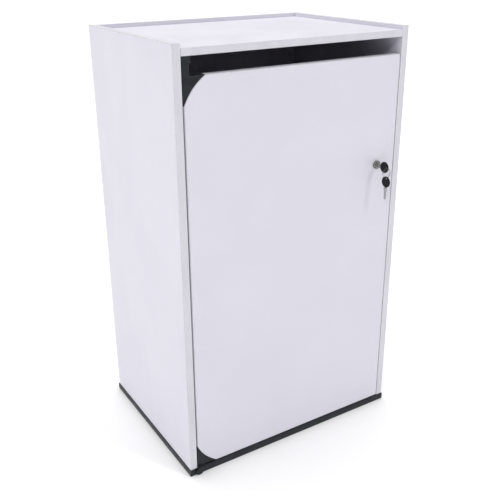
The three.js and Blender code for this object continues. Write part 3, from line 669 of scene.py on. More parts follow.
# Drawing axes of a board lying in each plane: its outline is in x and y, its thickness in z.
UPRIGHT_SIDE = axes((0, 1, 0), (0, 0, 1), (1, 0, 0))
UPRIGHT_FRONT = axes((1, 0, 0), (0, 0, 1), (0, -1, 0))
LEVEL = axes((1, 0, 0), (0, 1, 0), (0, 0, 1))


def arc(centre, radius, start, end, steps):
    """Points on an arc, both ends included, angles in degrees."""
    points = []
    for i in range(steps + 1):
        angle = radians(start + (end - start) * i / steps)
        points.append((centre[0] + radius * cos(angle), centre[1] + radius * sin(angle)))
    return points


def outward(before, here, after):
    """The mitred outward direction at a point of a counter-clockwise path."""
    normals = []
    for start, end in ((before, here), (here, after)):
        along = (Vector(end) - Vector(start)).normalized()
        normals.append(Vector((along.y, -along.x)))
    middle = (normals[0] + normals[1]).normalized()
    return middle / max(middle.dot(normals[0]), MITRE_LIMIT)


def inset(outline, distance):
    points = []
    for i, here in enumerate(outline):
        away = outward(outline[i - 1], here, outline[(i + 1) % len(outline)])
        points.append(tuple(Vector(here) - away * distance))
    return points


def band(path, low, high):
    """An edge band along an open counter-clockwise path: square inside, its outer corners rounded."""
    shoulders = arc((-BAND_ROUND, low + BAND_ROUND), BAND_ROUND, -90, 0, 5)
    shoulders += arc((-BAND_ROUND, high - BAND_ROUND), BAND_ROUND, 0, 90, 5)
    inner = SEAM - BAND
    section = [(-BAND, low + SEAM), (inner, low), *shoulders, (inner, high), (-BAND, high - SEAM)]
    before_first = tuple(2 * Vector(path[0]) - Vector(path[1]))
    after_last = tuple(2 * Vector(path[-1]) - Vector(path[-2]))
    points = [before_first, *path, after_last]
    rings = []
    for before, here, after in zip(points, points[1:], points[2:]):
        away = outward(before, here, after)
        rings.append([(here[0] + away.x * d, here[1] + away.y * d, z) for d, z in section])
    return loft(rings)


def board(node, core, turn, paths=(), low=0, high=0, face="white_laminate", raw="chipboard"):
    """A laminated board: a core with raw edges, laminate on its two faces, and bands along its paths."""
    soften(core, SEAM, 2)
    core.data.materials.append(FINISHES[face])
    core.data.materials.append(FINISHES[raw])
    across = (turn @ Vector((0, 0, 1))).normalized()
    for polygon in core.data.polygons:
        polygon.material_index = 0 if abs(polygon.normal.dot(across)) > FACE_TILT else 1
    bands = []
    for path in paths:
        strip = move(band(path, low, high), turn)
        strip.data.materials.append(FINISHES["white_band"])
        bands.append(strip)
    show(join(core, *bands) if bands else core, node)


def rectangle(low, high):
    return [(low[0], low[1]), (high[0], low[1]), (high[0], high[1]), (low[0], high[1])]


def bored(nodes, radius):
    """Loose round holes along the long axes of these nodes, a little longer than the nodes."""
    tools = []
    for node in nodes:
        box = Box(node)
        longest = max(range(3), key=lambda i: box.size[i])
        start, end = box.middle.copy(), box.middle.copy()
        start[longest] = box.low[longest] - PAST
        end[longest] = box.high[longest] + PAST
        tools.append(peg(start, end, radius + LOOSE))
    return tools


def seat(node, direction):
    """Places a fastener drawn from z = 0 towards +z where its node is, pointing along a direction."""
    box = Box(node)
    start = box.middle.copy()
    for i, way in enumerate(direction):
        if way:
            start[i] = box.low[i] if way > 0 else box.high[i]
    return at(*start) @ towards(direction)


def named(stem, *groups):
    """Node names: a stem with every combination of endings."""
    return ["_".join((stem, *endings)) for endings in product(*groups)]


SIDES = ("left", "right")
ENDS = ("front", "rear")
LEVELS = ("lower", "upper")
BASE_SCREWS = named("base_screw", SIDES, ENDS) + named("base_screw_back", SIDES)
HINGE_SCREWS = {end: named(f"hinge_{end}_screw", ENDS) for end in ("top", "bottom")}
CORNER_SCREWS = {end: named(f"corner_{end}_screw", ("inner", "outer")) for end in ("top", "bottom")}
STRIKE_SCREWS = named("strike_screw", LEVELS)


def side_panel(side):
    """A side: banded in front, behind and on top, and bored for its dowels, bolts and screws."""
    node = f"side_panel_{side}"
    x0, y0, z0, x1, y1, z1 = Box(node).corners
    outline = rectangle((y0 + BAND + BAND_GAP, z0), (y1 - BAND - BAND_GAP, z1 - BAND - BAND_GAP))
    holes = bored(named("back_dowel", [side], LEVELS), DOWEL.radius)
    holes += bored(named("cam_bolt", [side], ENDS), CAM_BOLT.thread)
    holes += bored(named("base_screw", [side], ENDS), BASE_SCREW.shank)
    if side == "right":
        holes += bored([*STRIKE_SCREWS, "door_stop_screw"], STRIKE_SCREW.shank)
    core = cut(prism(outline, x0, x1, UPRIGHT_SIDE), *holes)
    paths = [[(y0, z1), (y0, z0)], [(y1, z0), (y1, z1)], [(y1 - BAND, z1), (y0 + BAND, z1)]]
    board(node, core, UPRIGHT_SIDE, paths, x0, x1)


def top_panel():
    """The top, banded in front, with holes below for the cam drums and in its ends for their bolts."""
    x0, y0, z0, x1, y1, z1 = Box("top_panel").corners
    holes = bored(HINGE_SCREWS["top"], HINGE_SCREW.shank)
    for drum_node, bolt_node in zip(named("cam_fitting", SIDES, ENDS), named("cam_bolt", SIDES, ENDS)):
        drum, height = Box(drum_node), Box(bolt_node).middle.z
        x, y = drum.middle.xy
        edge = x0 - PAST if "left" in drum_node else x1 + PAST
        radius = drum.size.y / 2 + LOOSE
        holes.append(peg((x, y, z0 - PAST), (x, y, drum.high.z + LOOSE), radius, 64))
        holes.append(peg((x, y, height), (edge, y, height), CAM_BOLT.bore))
    core = cut(prism(rectangle((x0, y0 + BAND + BAND_GAP), (x1, y1)), z0, z1), *holes)
    board("top_panel", core, LEVEL, [[(x0, y0), (x1, y0)]], z0, z1)


def back_panel():
    """The back, banded on top."""
    x0, y0, z0, x1, y1, z1 = Box("back_panel").corners
    holes = bored(named("back_dowel", SIDES, LEVELS), DOWEL.radius)
    holes += bored(named("base_screw_back", SIDES), BASE_SCREW.shank)
    core = cut(slab(rectangle((x0, z0), (x1, z1 - BAND - BAND_GAP)), y0, y1), *holes)
    board("back_panel", core, UPRIGHT_FRONT, [[(x1, z1), (x0, z1)]], -y1, -y0)


def base_board():
    """The board that all the others stand on, with a groove round its edges for the edging."""
    x0, y0, z0, x1, y1, z1 = Box("base_board").corners
    reach, half, middle = GROOVE.depth, GROOVE.height / 2, EDGING.height / 2
    belt = brick((2 * x0, 2 * y0, middle - half), (2 * x1, 2 * y1, middle + half))
    groove = cut(belt, brick((x0 + reach, y0 + reach, -PAST), (x1 - reach, y1 - reach, z1 + PAST)))
    holes = screw_holes(BASE_SCREWS, BASE_SCREW, (0, 0, 1))
    holes += bored(HINGE_SCREWS["bottom"], HINGE_SCREW.shank)
    core = cut(brick((x0, y0, z0), (x1, y1, z1)), groove, *holes)
    board("base_board", core, LEVEL, face="black_laminate", raw="black_laminate")


# ---- Base edging ----


def edging_section():
    """The edging's crowned cap with its rounded lips, and the barbed spine that holds it in the groove."""
    lip, crown, height, turn = EDGING.lip, EDGING.crown, EDGING.height, EDGING.lip_round
    depth, nose, barb = SPINE.depth, SPINE.nose, SPINE.barb
    middle = height / 2
    low, high = middle - SPINE.width / 2, middle + SPINE.width / 2
    points = [(MITRE_GAP, 0), *arc((lip - turn, turn), turn, -90, -15, 4)]
    steps = 24
    for i in range(1, steps):
        t = i / steps
        points.append((lip + 2 * t * (1 - t) * (crown - lip), height * t))
    points += arc((lip - turn, height - turn), turn, 15, 90, 4)
    points += [(MITRE_GAP, height), (MITRE_GAP, high)]
    for tip in SPINE.barbs:
        points += [(tip, high), (tip, high + barb), (tip - 1, high)]
    points += [(-depth, middle + nose), (-depth, middle - nose)]
    for tip in reversed(SPINE.barbs):
        points += [(tip - 1, low), (tip, low - barb), (tip, low)]
    points.append((MITRE_GAP, low))
    return points


def base_edging():
    """Four runs round the base board, their ends cut to mitres."""
    half_x, half_y = Box("base_board").size.xy / 2
    section = edging_section()
    for turns, side in enumerate(("right", "back", "left", "front")):
        half, out = (half_y, half_x) if side in SIDES else (half_x, half_y)
        rings = []
        for end in (-1, 1):
            rings.append([(out + x, end * (half + x - MITRE_GAP), z) for x, z in section])
        show(move(loft(rings), about_z(90 * turns)), f"base_edge_{side}")


# ---- Fasteners, drawn with the head's face at z = 0 and the point towards +z ----


def recess(radius, depth):
    """A cross recess in a head of that radius, whose two wings taper inwards."""
    half, thick = radius * RECESS.reach, radius * RECESS.half_width
    wings = []
    for turn in (0, 90):
        top = [(x, y, -0.5) for x, y in rectangle((-half, -thick), (half, thick))]
        low = [(x * RECESS_TAPER[0], y * RECESS_TAPER[1], depth) for x, y, _ in top]
        wings.append(move(loft([top, low]), about_z(turn)))
    return wings


def thread(core, crest, pitch, start, end):
    """Rings of points for a V thread that runs out smoothly at both ends."""
    steps = max(6, round((end - start) / pitch * 6))

    def radius_at(angle, z):
        phase = (angle / tau + z / pitch) % 1
        fade = min(1.0, (z - start) / pitch, (end - z) / pitch)
        return core + (crest - core) * max(0.0, fade) * (1 - abs(2 * phase - 1))

    return [circle(radius_at, start + (end - start) * i / steps, SCREW_SIDES) for i in range(steps + 1)]


def screw(kind, pan=False, machine=False):
    """A countersunk or pan-head screw: wood thread with a point, or machine thread with a flat end."""
    shank, head, head_height = kind.shank, kind.head, kind.head_height
    core = shank * SCREW_CORE
    if pan:
        under = head_height
        profile = [(head * 0.5, 0), (head * 0.76, 0.12), (head * 0.92, head_height * 0.3)]
        profile += [(head, head_height * 0.62), (head, head_height), (core, head_height)]
    else:
        under = head_height + 0.6
        profile = [(head - 0.12, 0), (head, 0.12), (head, 0.4), (shank, head_height), (core, under)]
    rings = [circle(r, z, SCREW_SIDES) for r, z in profile]
    point, pitch, tip = (0.6, 0.7, 0.75) if machine else (3.0, 1.6 + shank * 0.35, 0.08)
    rings += thread(core, shank, pitch, under + 0.2, kind.length - point)
    rings.append(circle(core * tip, kind.length, SCREW_SIDES))
    return cut(loft(rings), *recess(head, head_height * 0.62))


def screw_holes(nodes, kind, direction):
    """Countersunk holes for the screws at these nodes."""
    head, shank = kind.head + LOOSE, kind.shank + LOOSE
    profile = [(head, -PAST), (head, 0.5), (shank, kind.head_height), (shank, kind.length + PAST)]
    return [move(turned(profile, 32), seat(node, direction)) for node in nodes]


def fasten(nodes, kind, direction, **style):
    """One screw for each node, each turned a little further than the one before."""
    places = {}
    for i, node in enumerate(nodes):
        places[node] = seat(node, direction) @ about_z(SCREW_TURN.first + SCREW_TURN.step * i)
    show_copies(screw(kind, **style), places)


def cam_bolt():
    """Thread for the side panel, a collar, a smooth shank and a ball end that the drum pulls on."""
    shank, neck, head = CAM_BOLT.shank, CAM_BOLT.neck, CAM_BOLT.head
    station, crest, start = CAM_BOLT_STATIONS, CAM_BOLT.thread, -CAM_BOLT.grip
    rings = [circle(CAM_BOLT_THREAD.point, start, SCREW_SIDES)]
    rings += thread(CAM_BOLT_THREAD.root, crest, CAM_BOLT_THREAD.pitch, start + 0.7, -0.6)
    profile = [(2.7, -0.05), (shank, 0.3), (shank, station.neck - 0.4), (shank - 0.4, station.neck)]
    profile += [(neck, station.neck + 0.2), (neck, station.head - 0.3), (head - 0.5, station.head)]
    profile += [(head, station.head + 0.5), (head, station.head_end - 0.4)]
    profile += [(head - 0.8, station.head_end + 0.4), (1.2, station.tip)]
    rings += [circle(r, z, SCREW_SIDES) for r, z in profile]
    return loft(rings)


def cam_fitting():
    """A cast drum: rounded rims, a side mouth for the bolt, a cam slot round it, and a cross recess."""
    box = Box("cam_fitting_left_front")
    radius, height = box.size.y / 2, box.size.z
    middle = Box("cam_bolt_left_front").middle.z - box.low.z
    profile = [(radius - 1.1, 0), (radius - 0.3, 0.3), (radius, 0.9), (radius, height - 0.9)]
    profile += [(radius - 0.3, height - 0.25), (radius - 0.8, height)]
    drum = turned(profile, 64)
    mouth = peg((-CAM_MOUTH / 2, 0, middle), (radius + PAST, 0, middle), CAM_MOUTH)
    inner, outer, depth = radius - CAM_SLOT[0], radius - CAM_SLOT[1], CAM_SLOT[2]
    slot = hollow_turned([(inner, -PAST), (outer, -PAST), (outer, depth), (inner, depth)], 64)
    return soften(cut(drum, mouth, slot, *recess(radius, 3.2)), EDGE["cam_fitting"], 2)


def dowel():
    """A fluted peg with chamfered ends."""
    length = Box("back_dowel_left_lower").size.x
    root = DOWEL.radius - DOWEL.flute

    def radius_at(angle, z):
        ridge = 0.5 + 0.5 * cos(angle * DOWEL.flutes)
        return min(root + DOWEL.flute * ridge**0.5, DOWEL.end + min(z, length - z))

    half = [0, 0.4, 0.8, 1.2, 4]
    levels = [*half, length / 2, *(length - z for z in reversed(half))]
    return loft([circle(radius_at, z, 96) for z in levels])


def connectors():
    """The screws, cam drums and bolts, and dowels that hold the boards together."""
    fasten(BASE_SCREWS, BASE_SCREW, (0, 0, 1))
    drum, bolt, pin = cam_fitting(), cam_bolt(), dowel()
    for side, inwards, facing in (("left", 1, about_z(180)), ("right", -1, about_z(0))):
        for end in ENDS:
            node = f"cam_fitting_{side}_{end}"
            show(move(copy_of(drum), seat(node, (0, 0, 1)) @ facing), node)
            node = f"cam_bolt_{side}_{end}"
            show(move(copy_of(bolt), seat(node, (inwards, 0, 0)) @ at(0, 0, CAM_BOLT.grip)), node)
        for node in named("back_dowel", [side], LEVELS):
            show(move(copy_of(pin), seat(node, (inwards, 0, 0))), node)
    for master in (drum, bolt, pin):
        discard(master)


# ---- Hinges and corner plates ----


def slab(outline, y_low, y_high):
    """An upright plate: an outline in x and z, between two depths."""
    return prism(outline, -y_high, -y_low, UPRIGHT_FRONT)


def rounded(points, radius):
    """A closed outline with its corners rounded; a radius of 0 keeps a corner sharp."""
    made = []
    count, steps = len(points), 8
    radii = radius if isinstance(radius, (list, tuple)) else [radius] * count
    for i, here in enumerate(points):
        if not radii[i]:
            made.append(here)
            continue
        corner = Vector(here)
        back = (Vector(points[i - 1]) - corner).normalized()
        on = (Vector(points[(i + 1) % count]) - corner).normalized()
        half = back.angle(on) / 2
        reach = radii[i] / tan(half)
        start, end = corner + back * reach, corner + on * reach
        centre = corner + (back + on).normalized() * (radii[i] / sin(half))
        for step in range(steps + 1):
            spoke = (start - centre).lerp(end - centre, step / steps).normalized()
            made.append(tuple(centre + spoke * radii[i]))
    return made


def quadratic(start, control, end):
    """Points on a quadratic curve, after its start."""
    points, steps = [], 16
    for i in range(1, steps + 1):
        t = i / steps
        a, b, c = (1 - t) ** 2, 2 * t * (1 - t), t * t
        points.append(tuple(a * Vector(start) + b * Vector(control) + c * Vector(end)))
    return points


def pin_bore(node, low, high):
    x, y, _ = Box(node).middle
    return peg((x, y, low), (x, y, high), PIN_RADIUS + LOOSE, 48)


def hinge_bracket_top():
    """A moulded block with a rounded front, and a thin flange behind it screwed up into the top panel."""
    x0, y0, z0, x1, y1, z1 = Box("hinge_bracket_top").corners
    block_back, turn = y0 + TOP_BLOCK.depth, TOP_BLOCK.tail_round
    body = prism(rounded(rectangle((x0, y0), (x1, block_back)), TOP_BLOCK.round), z0, z1)
    tail = rounded(rectangle((x0, block_back - turn), (x1, y1)), [0, 0, turn, turn])
    flange = prism(tail, z1 - TOP_BLOCK.flange, z1)
    bore = pin_bore("pivot_pin_top", z0 - PAST, Box("pivot_pin_top").high.z + LOOSE)
    holes = screw_holes(HINGE_SCREWS["top"], HINGE_SCREW, (0, 0, 1))
    bracket = cut(fuse(body, flange), bore, *holes)
    show(soften(bracket, EDGE["hinge_bracket_top"]), "hinge_bracket_top")
    fasten(HINGE_SCREWS["top"], HINGE_SCREW, (0, 0, 1))


def hinge_bracket_bottom():
    """A flat tab screwed down on the base, and a rounded leg that hangs over the edging."""
    right, _, top = Box("hinge_bracket_bottom").high
    front, left = Box("base_board").low.y, Box("hinge_bracket_top").low.x
    tab_low, leg_right, leg_back = top - TAB.thickness, left + LEG.width, front - LEG.gap
    leg_front = leg_back - LEG.thickness
    plan = rectangle((left, front + TAB.setback), (right, front + TAB.depth))
    tab = prism(rounded(plan, TAB.rounds), tab_low, top)
    neck = brick((left, leg_front, tab_low), (leg_right, front + PAST, top))
    side, shoulder, waist, foot = left - LEG.bulge, LEG.shoulder, LEG.waist, LEG.foot
    outline = [(left, top), (left, shoulder)]
    outline += quadratic(outline[-1], (side, shoulder), (side, waist))
    outline += quadratic(outline[-1], (side, foot), (left + LEG.width / 4, foot))
    outline += quadratic(outline[-1], (leg_right, foot), (leg_right, waist))
    leg = slab([*outline, (leg_right, top)], leg_front, leg_back)
    bore = pin_bore("pivot_pin_bottom", tab_low - PAST, top + PAST)
    holes = screw_holes(HINGE_SCREWS["bottom"], HINGE_SCREW, (0, 0, -1))
    bracket = cut(fuse(tab, neck, leg), bore, *holes)
    show(soften(bracket, EDGE["hinge_bracket_bottom"], 4), "hinge_bracket_bottom")
    fasten(HINGE_SCREWS["bottom"], HINGE_SCREW, (0, 0, -1))


def pivot_pins():
    """Plain pins with rounded ends."""
    profile = [(PIN_RADIUS - 0.8, 0), (PIN_RADIUS - 0.25, 0.2), (PIN_RADIUS, 0.7)]
    profile += [(r, PIN_REACH - z) for r, z in reversed(profile)]
    places = {node: seat(node, (0, 0, 1)) for node in named("pivot_pin", ("top", "bottom"))}
    show_copies(turned(profile), places)


def corner_centre():
    """Centre of the arc that cuts a door corner, from the corner inwards along X and along Z."""
    width, height, radius = DOOR_CORNER.width, DOOR_CORNER.height, DOOR_CORNER.radius
    chord = hypot(width, height)
    reach = sqrt(radius**2 - (chord / 2) ** 2)
    return width / 2 + reach * height / chord, height / 2 + reach * width / chord


def corner_arc(up, grow, start_x, end_x, steps=48):
    """Points on that arc at the top (up = 1) or bottom (up = -1) corner, between two distances in X."""
    door, left = Box("door_panel"), Box("corner_plate_top").low.x
    centre_x, centre_z = corner_centre()
    radius = DOOR_CORNER.radius + grow
    start = acos((centre_x - start_x) / radius)
    end = acos((centre_x - end_x) / radius)
    edge = door.high.z if up > 0 else door.low.z
    points = []
    for i in range(steps + 1):
        angle = start + (end - start) * i / steps
        x = left + centre_x - radius * cos(angle)
        z = edge - up * (centre_z - radius * sin(angle))
        points.append((x, z))
    return points


def door_panel():
    """A board banded all round, its corners on the hinge side cut to arcs."""
    x0, y0, z0, x1, y1, z1 = Box("door_panel").corners
    step = x0 - Box("corner_plate_top").low.x
    top = corner_arc(1, 0, step, DOOR_CORNER.width)[::-1]
    bottom = corner_arc(-1, 0, step, DOOR_CORNER.width)
    wrapped = [(x1, z1), *top, *bottom, (x1, z0)]
    holes = bored(CORNER_SCREWS["top"] + CORNER_SCREWS["bottom"], CORNER_SCREW.shank)
    x, _, z = Box("lock_housing").middle
    holes.append(peg((x, y0 - PAST, z), (x, y1 + PAST, z), LOCK.barrel + LOOSE, LOCK_SIDES))
    core = cut(slab(inset(wrapped, BAND + BAND_GAP), y0, y1), *holes)
    paths = [wrapped, [(x1, z0 + BAND), (x1, z1 - BAND)]]
    board("door_panel", core, UPRIGHT_FRONT, paths, -y1, -y0)


def corner_plate(end, up):
    """A web that fills the cut corner, a strip and post that hold the pin, and a flange behind the door."""
    node = f"corner_plate_{end}"
    box, door = Box(node), Box("door_panel")
    lift = 0 if up > 0 else CORNER_LIFT
    edge = door.high.z if up > 0 else door.low.z + lift
    left, gap, tip = box.low.x, DOOR_CORNER.gap, DOOR_CORNER.tip
    centre_x, centre_z = corner_centre()
    reach = centre_x - sqrt((DOOR_CORNER.radius + gap) ** 2 - (centre_z - lift) ** 2)
    web = corner_arc(up, gap, tip, reach)
    web = [(left, edge), (left, web[0][1]), *web]
    post_right = left + POST.width
    strip = corner_arc(up, gap, tip, POST.width, 16)
    strip = [(left, edge), (left, strip[0][1]), *strip, (post_right, edge)]
    low, right, turn = edge - up * FLANGE.height, left + FLANGE.width, FLANGE.round
    lap = [(left, edge), (left, low), (left + FLANGE.tip, low)]
    lap += [(right, edge - up * FLANGE.tip), (right, edge)]
    lap = rounded(lap, [0, turn, turn, turn, turn / 2])
    rear = box.high.y - FLANGE.thickness
    face = door.low.y
    pieces = [slab(web, face + DOOR_CORNER.recess, rear + PAST), slab(strip, face, rear + PAST)]
    pin = Box(f"pivot_pin_{end}")
    bore = pin_bore(f"pivot_pin_{end}", pin.low.z - PAST, pin.high.z + PAST)
    if up > 0:
        plan = rectangle((left, face), (post_right, face + POST.depth))
        pieces.append(prism(rounded(plan, POST.round), edge - POST.overlap, box.high.z))
    holes = screw_holes(CORNER_SCREWS[end], CORNER_SCREW, (0, -1, 0))
    plate = cut(fuse(slab(lap, rear, box.high.y), *pieces), bore, *holes)
    show(soften(plate, EDGE["corner_plate"]), node)
    fasten(CORNER_SCREWS[end], CORNER_SCREW, (0, -1, 0))


# ---- Catch side ----


def strike_plate():
    """A bent steel angle with rounded corners."""
    x0, y0, z0, x1, y1, z1 = Box("strike_plate").corners
    thick, bend, corner = STRIKE.thickness, STRIKE.bend, STRIKE.corner
    section = [(x0, y0), (x1, y0), (x1, y1), (x1 - thick, y1), (x1 - thick, y0 + thick), (x0, y0 + thick)]
    plate = prism(rounded(section, [0, bend + thick, 0, 0, bend, 0]), z0, z1)
    frontal = rounded(rectangle((x0, z0), (x1 + PAST, z1)), [corner, 0, 0, corner])
    lateral = rounded(rectangle((y0 - PAST, z0), (y1, z1)), [0, corner, corner, 0])
    clip(plate, slab(frontal, y0 - PAST, y1 + PAST), prism(lateral, x0 - PAST, x1 + PAST, UPRIGHT_SIDE))
    cut(plate, *bored(STRIKE_SCREWS, STRIKE_SCREW.shank))
    show(soften(plate, EDGE["strike_plate"], 2), "strike_plate")
    fasten(STRIKE_SCREWS, STRIKE_SCREW, (1, 0, 0), pan=True)


def door_stop():
    """A moulded buffer, counterbored for its screw."""
    x0, y0, z0, x1, y1, z1 = Box("door_stop").corners
    driver = Box("door_stop_screw")
    _, y, z = driver.middle
    body = prism(rounded(rectangle((y0, z0), (y1, z1)), STOP_ROUND), x0, x1, UPRIGHT_SIDE)
    head_end = driver.low.x + STRIKE_SCREW.head_height + LOOSE
    bores = []
    for end, radius in ((head_end, STRIKE_SCREW.head), (x1 + PAST, STRIKE_SCREW.shank)):
        bores.append(peg((x0 - PAST, y, z), (end, y, z), radius + LOOSE))
    show(soften(cut(body, *bores), EDGE["door_stop"]), "door_stop")
    fasten(["door_stop_screw"], STRIKE_SCREW, (1, 0, 0), pan=True)


# ---- Lock ----


def lock_axis():
    """Lays the lock's own frame on the door: +z inwards, +y down."""
    housing = Box("lock_housing")
    origin = (housing.middle.x, housing.low.y - LOCK.front, housing.middle.z)
    return at(*origin) @ Matrix.Rotation(-pi / 2, 4, "X")


def lock_housing():
    """A chamfered head, and a threaded barrel with two flats."""
    head, front, end = LOCK.head, LOCK.front, LOCK.end
    start, steps = LOCK_THREAD.start, LOCK_THREAD.steps

    def radius_at(angle, z):
        phase = (angle / tau + z) % 1
        fade = min(1.0, max(0.0, (z - start) * 2), (end - z) * 2)
        radius = LOCK.barrel - LOCK_THREAD.depth * fade * abs(2 * phase - 1)
        return min(radius, LOCK.flat / max(abs(sin(angle)), 0.01))

    profile = [(head - 1.5, front), (head - 1.1, front + 0.05), (head - 0.75, front + 0.2)]
    profile += [(head - 0.12, front + 1.15), (head, front + 1.6)]
    profile += [(head, -SEAT - 0.15), (head - 0.15, -SEAT)]
    rings = [circle(r, z, LOCK_SIDES) for r, z in profile]
    thread_levels = [start + i / steps for i in range(int((end - start) * steps) + 1)]
    rings += [circle(radius_at, z, LOCK_SIDES) for z in (-SEAT + 0.01, start - 0.1, *thread_levels, end)]
    mouth, step = LOCK_COUNTERBORE.radius, front + LOCK_COUNTERBORE.depth
    hollow = [(mouth + 0.3, front - PAST), (mouth + 0.3, front), (mouth, front + 0.3), (mouth, step)]
    hollow += [(LOCK.bore, step), (LOCK.bore, end + PAST)]
    show(move(cut(loft(rings), turned(hollow, LOCK_SIDES)), lock_axis()), "lock_housing")


def lock_nut():
    """A hexagon nut, its corners taken down by a cone on both faces."""
    radius, start, end = NUT.radius, NUT.start, NUT.start + NUT.thickness
    hexagon = turned([(radius, start), (radius, end)], 6)
    flat, wide = radius * cos(pi / 6), radius + 0.4
    cone = turned([(flat, start), (wide, start + 1.2), (wide, end - 1.2), (flat, end)], LOCK_SIDES)
    hole, mouth = LOCK.barrel + LOOSE, LOCK.barrel + LOOSE + 1.6
    bore = [(mouth, start - PAST), (hole, start + 0.6), (hole, end - 0.6), (mouth, end + PAST)]
    nut = cut(clip(hexagon, cone), turned(bore, LOCK_SIDES))
    show(move(soften(nut, EDGE["lock_nut"], 2), lock_axis() @ about_z(30)), "lock_nut")


def lock_plug():
    """The turning plug, its keyway, and the square tail that carries the cam."""
    face, flange, radius, end = PLUG.face, PLUG.flange, PLUG.radius, PLUG.end
    profile = [(flange - 0.7, face), (flange - 0.25, face + 0.1), (flange, face + 0.4)]
    profile += [(flange, PLUG.flange_end), (radius, PLUG.flange_end), (radius, end)]
    tail, tail_end = PLUG_TAIL.half, PLUG_TAIL.end
    square = rounded(rectangle((-tail, -tail), (tail, tail)), PLUG_TAIL.round)
    half, tall = KEYWAY.width / 2, KEYWAY.height / 2
    slot = brick((-half, -tall, face - PAST), (half, tall, face + KEYWAY.depth))
    pilot_start = tail_end - CAM_SCREW.length + CAM_SCREW.head_height
    pilot = peg((0, 0, pilot_start), (0, 0, tail_end + PAST), CAM_SCREW.shank + LOOSE)
    plug = cut(fuse(turned(profile, LOCK_SIDES), prism(square, end - PAST, tail_end)), slot, pilot)
    show(move(soften(plug, EDGE["lock_plug"], 2), lock_axis()), "lock_plug")


def lock_cam():
    """A stamped bar that points up at rest, on the plug's square tail, held by its screw."""
    width, reach, corner = LOCK_CAM.width, LOCK_CAM.reach, LOCK_CAM.corner
    tip_x = LOCK_CAM.tip_width / 2 - corner
    outline = arc((0, 0), width / 2, 0, 180, 40)
    outline += arc((-tip_x, corner - reach), corner, 180, 270, 12)
    outline += arc((tip_x, corner - reach), corner, 270, 360, 12)
    start, end = LOCK_CAM.start, LOCK_CAM.start + LOCK_CAM.thickness
    half = PLUG_TAIL.half + LOOSE
    bar = cut(prism(outline, start, end), brick((-half, -half, start - PAST), (half, half, end + PAST)))
    show(move(soften(bar, EDGE["lock_cam"]), lock_axis()), "lock_cam")
    fasten(["cam_screw"], CAM_SCREW, (0, -1, 0), pan=True, machine=True)


# ---- Keys ----


def faced(side, sides, height):
    """A shape turned about x with both faces alike, from (radius, x) pairs, at a height along z."""
    profile = [(r, -x) for r, x in side] + [(r, x) for r, x in reversed(side)]
    return move(turned(profile, sides), at(0, 0, height) @ towards((1, 0, 0)))


def key_bow():
    """A moulded disc: a raised rim and a raised eye over a dished face, and a slot for the blade's tang."""
    radius, half, centre = BOW.radius, BOW.half, BOW.centre
    inner, sunk = radius - BOW.rim, half - BOW.dish
    face = [(inner - 0.3, sunk), (inner, sunk + 0.08), (inner + 0.35, half - 0.06), (inner + 0.6, half)]
    face += [(radius - 0.9, half), (radius - 0.45, half - 0.13), (radius - 0.13, half - 0.45)]
    disc = faced([*face, (radius, half - 0.9)], 128, centre)
    pad, mouth, eye_centre = EYE.pad, EYE.radius, centre - EYE.offset
    boss = faced([(pad - 0.45, half), (pad - 0.12, half - 0.12), (pad, half - 0.4)], 64, eye_centre)
    eye = faced([(mouth + 1.2, half + 0.8), (mouth, half - 0.4)], 64, eye_centre)
    thick, wide = TANG.half + TANG.slack, TANG.width / 2 + TANG.slack
    bottom = centre + radius
    slot = brick((-thick, -wide, bottom - TANG.length), (thick, wide, bottom + PAST))
    return cut(fuse(disc, boss), eye, slot)


def key_blade():
    """A stamped blade: tang, shoulder, tapered tip, V notches along one edge and a groove in each face."""
    half, edge, end, tip = BLADE.half, BLADE.width / 2, BLADE.end, BLADE.tip
    tang_start = BOW.centre + BOW.radius - TANG.length + TANG.slack
    tang_edge = TANG.width / 2
    start, stop = SHOULDER.start, SHOULDER.end
    tang = brick((-TANG.half, -tang_edge, tang_start), (TANG.half, tang_edge, start + PAST))
    wide = SHOULDER.width / 2
    shoulder = rounded(rectangle((-wide, start), (wide, stop)), SHOULDER.round)
    outline = [(-edge, stop - PAST), (edge, stop - PAST)]
    for middle, depth in KEY_CUTS:
        low, high, run = middle - NOTCH.floor, middle + NOTCH.floor, depth * NOTCH.slope
        outline += [(edge, low - run), (edge - depth, low), (edge - depth, high), (edge, high + run)]
    outline += [(edge, end - tip), (edge - tip, end - 0.3), (0, end)]
    outline += [(tip - edge, end - 0.3), (-edge, end - tip)]
    # The blade is flat in x: its outlines are drawn in y and z.
    flat = fuse(*(prism(shape, -half, half, UPRIGHT_SIDE) for shape in (outline, shoulder)), tang)
    grooves = []
    for side in (-1, 1):
        low, high = sorted((side * (half - MILLED.depth), side * (half + PAST)))
        centre = MILLED.spread * side + MILLED.shift
        left, right = centre - MILLED.half, centre + MILLED.half
        grooves.append(brick((low, left, stop + MILLED.start), (high, right, end + PAST)))
    return soften(cut(flat, *grooves), EDGE["key_blade"], 2)


def keys():
    """The key in the lock, and the spare that hangs from the ring with its blade down."""
    spare = Box("spare_key_bow").middle
    hanging = at(spare.x, spare.y, spare.z + BOW.centre) @ Matrix.Rotation(pi, 4, "X")
    bow, blade = key_bow(), key_blade()
    blade.data.materials.append(FINISHES["key_steel"])
    for prefix, place in (("", lock_axis()), ("spare_", hanging)):
        show(move(copy_of(bow), place), prefix + "key_bow")
        show(move(copy_of(blade), place), prefix + "key_blade")
    discard(bow)
    discard(blade)


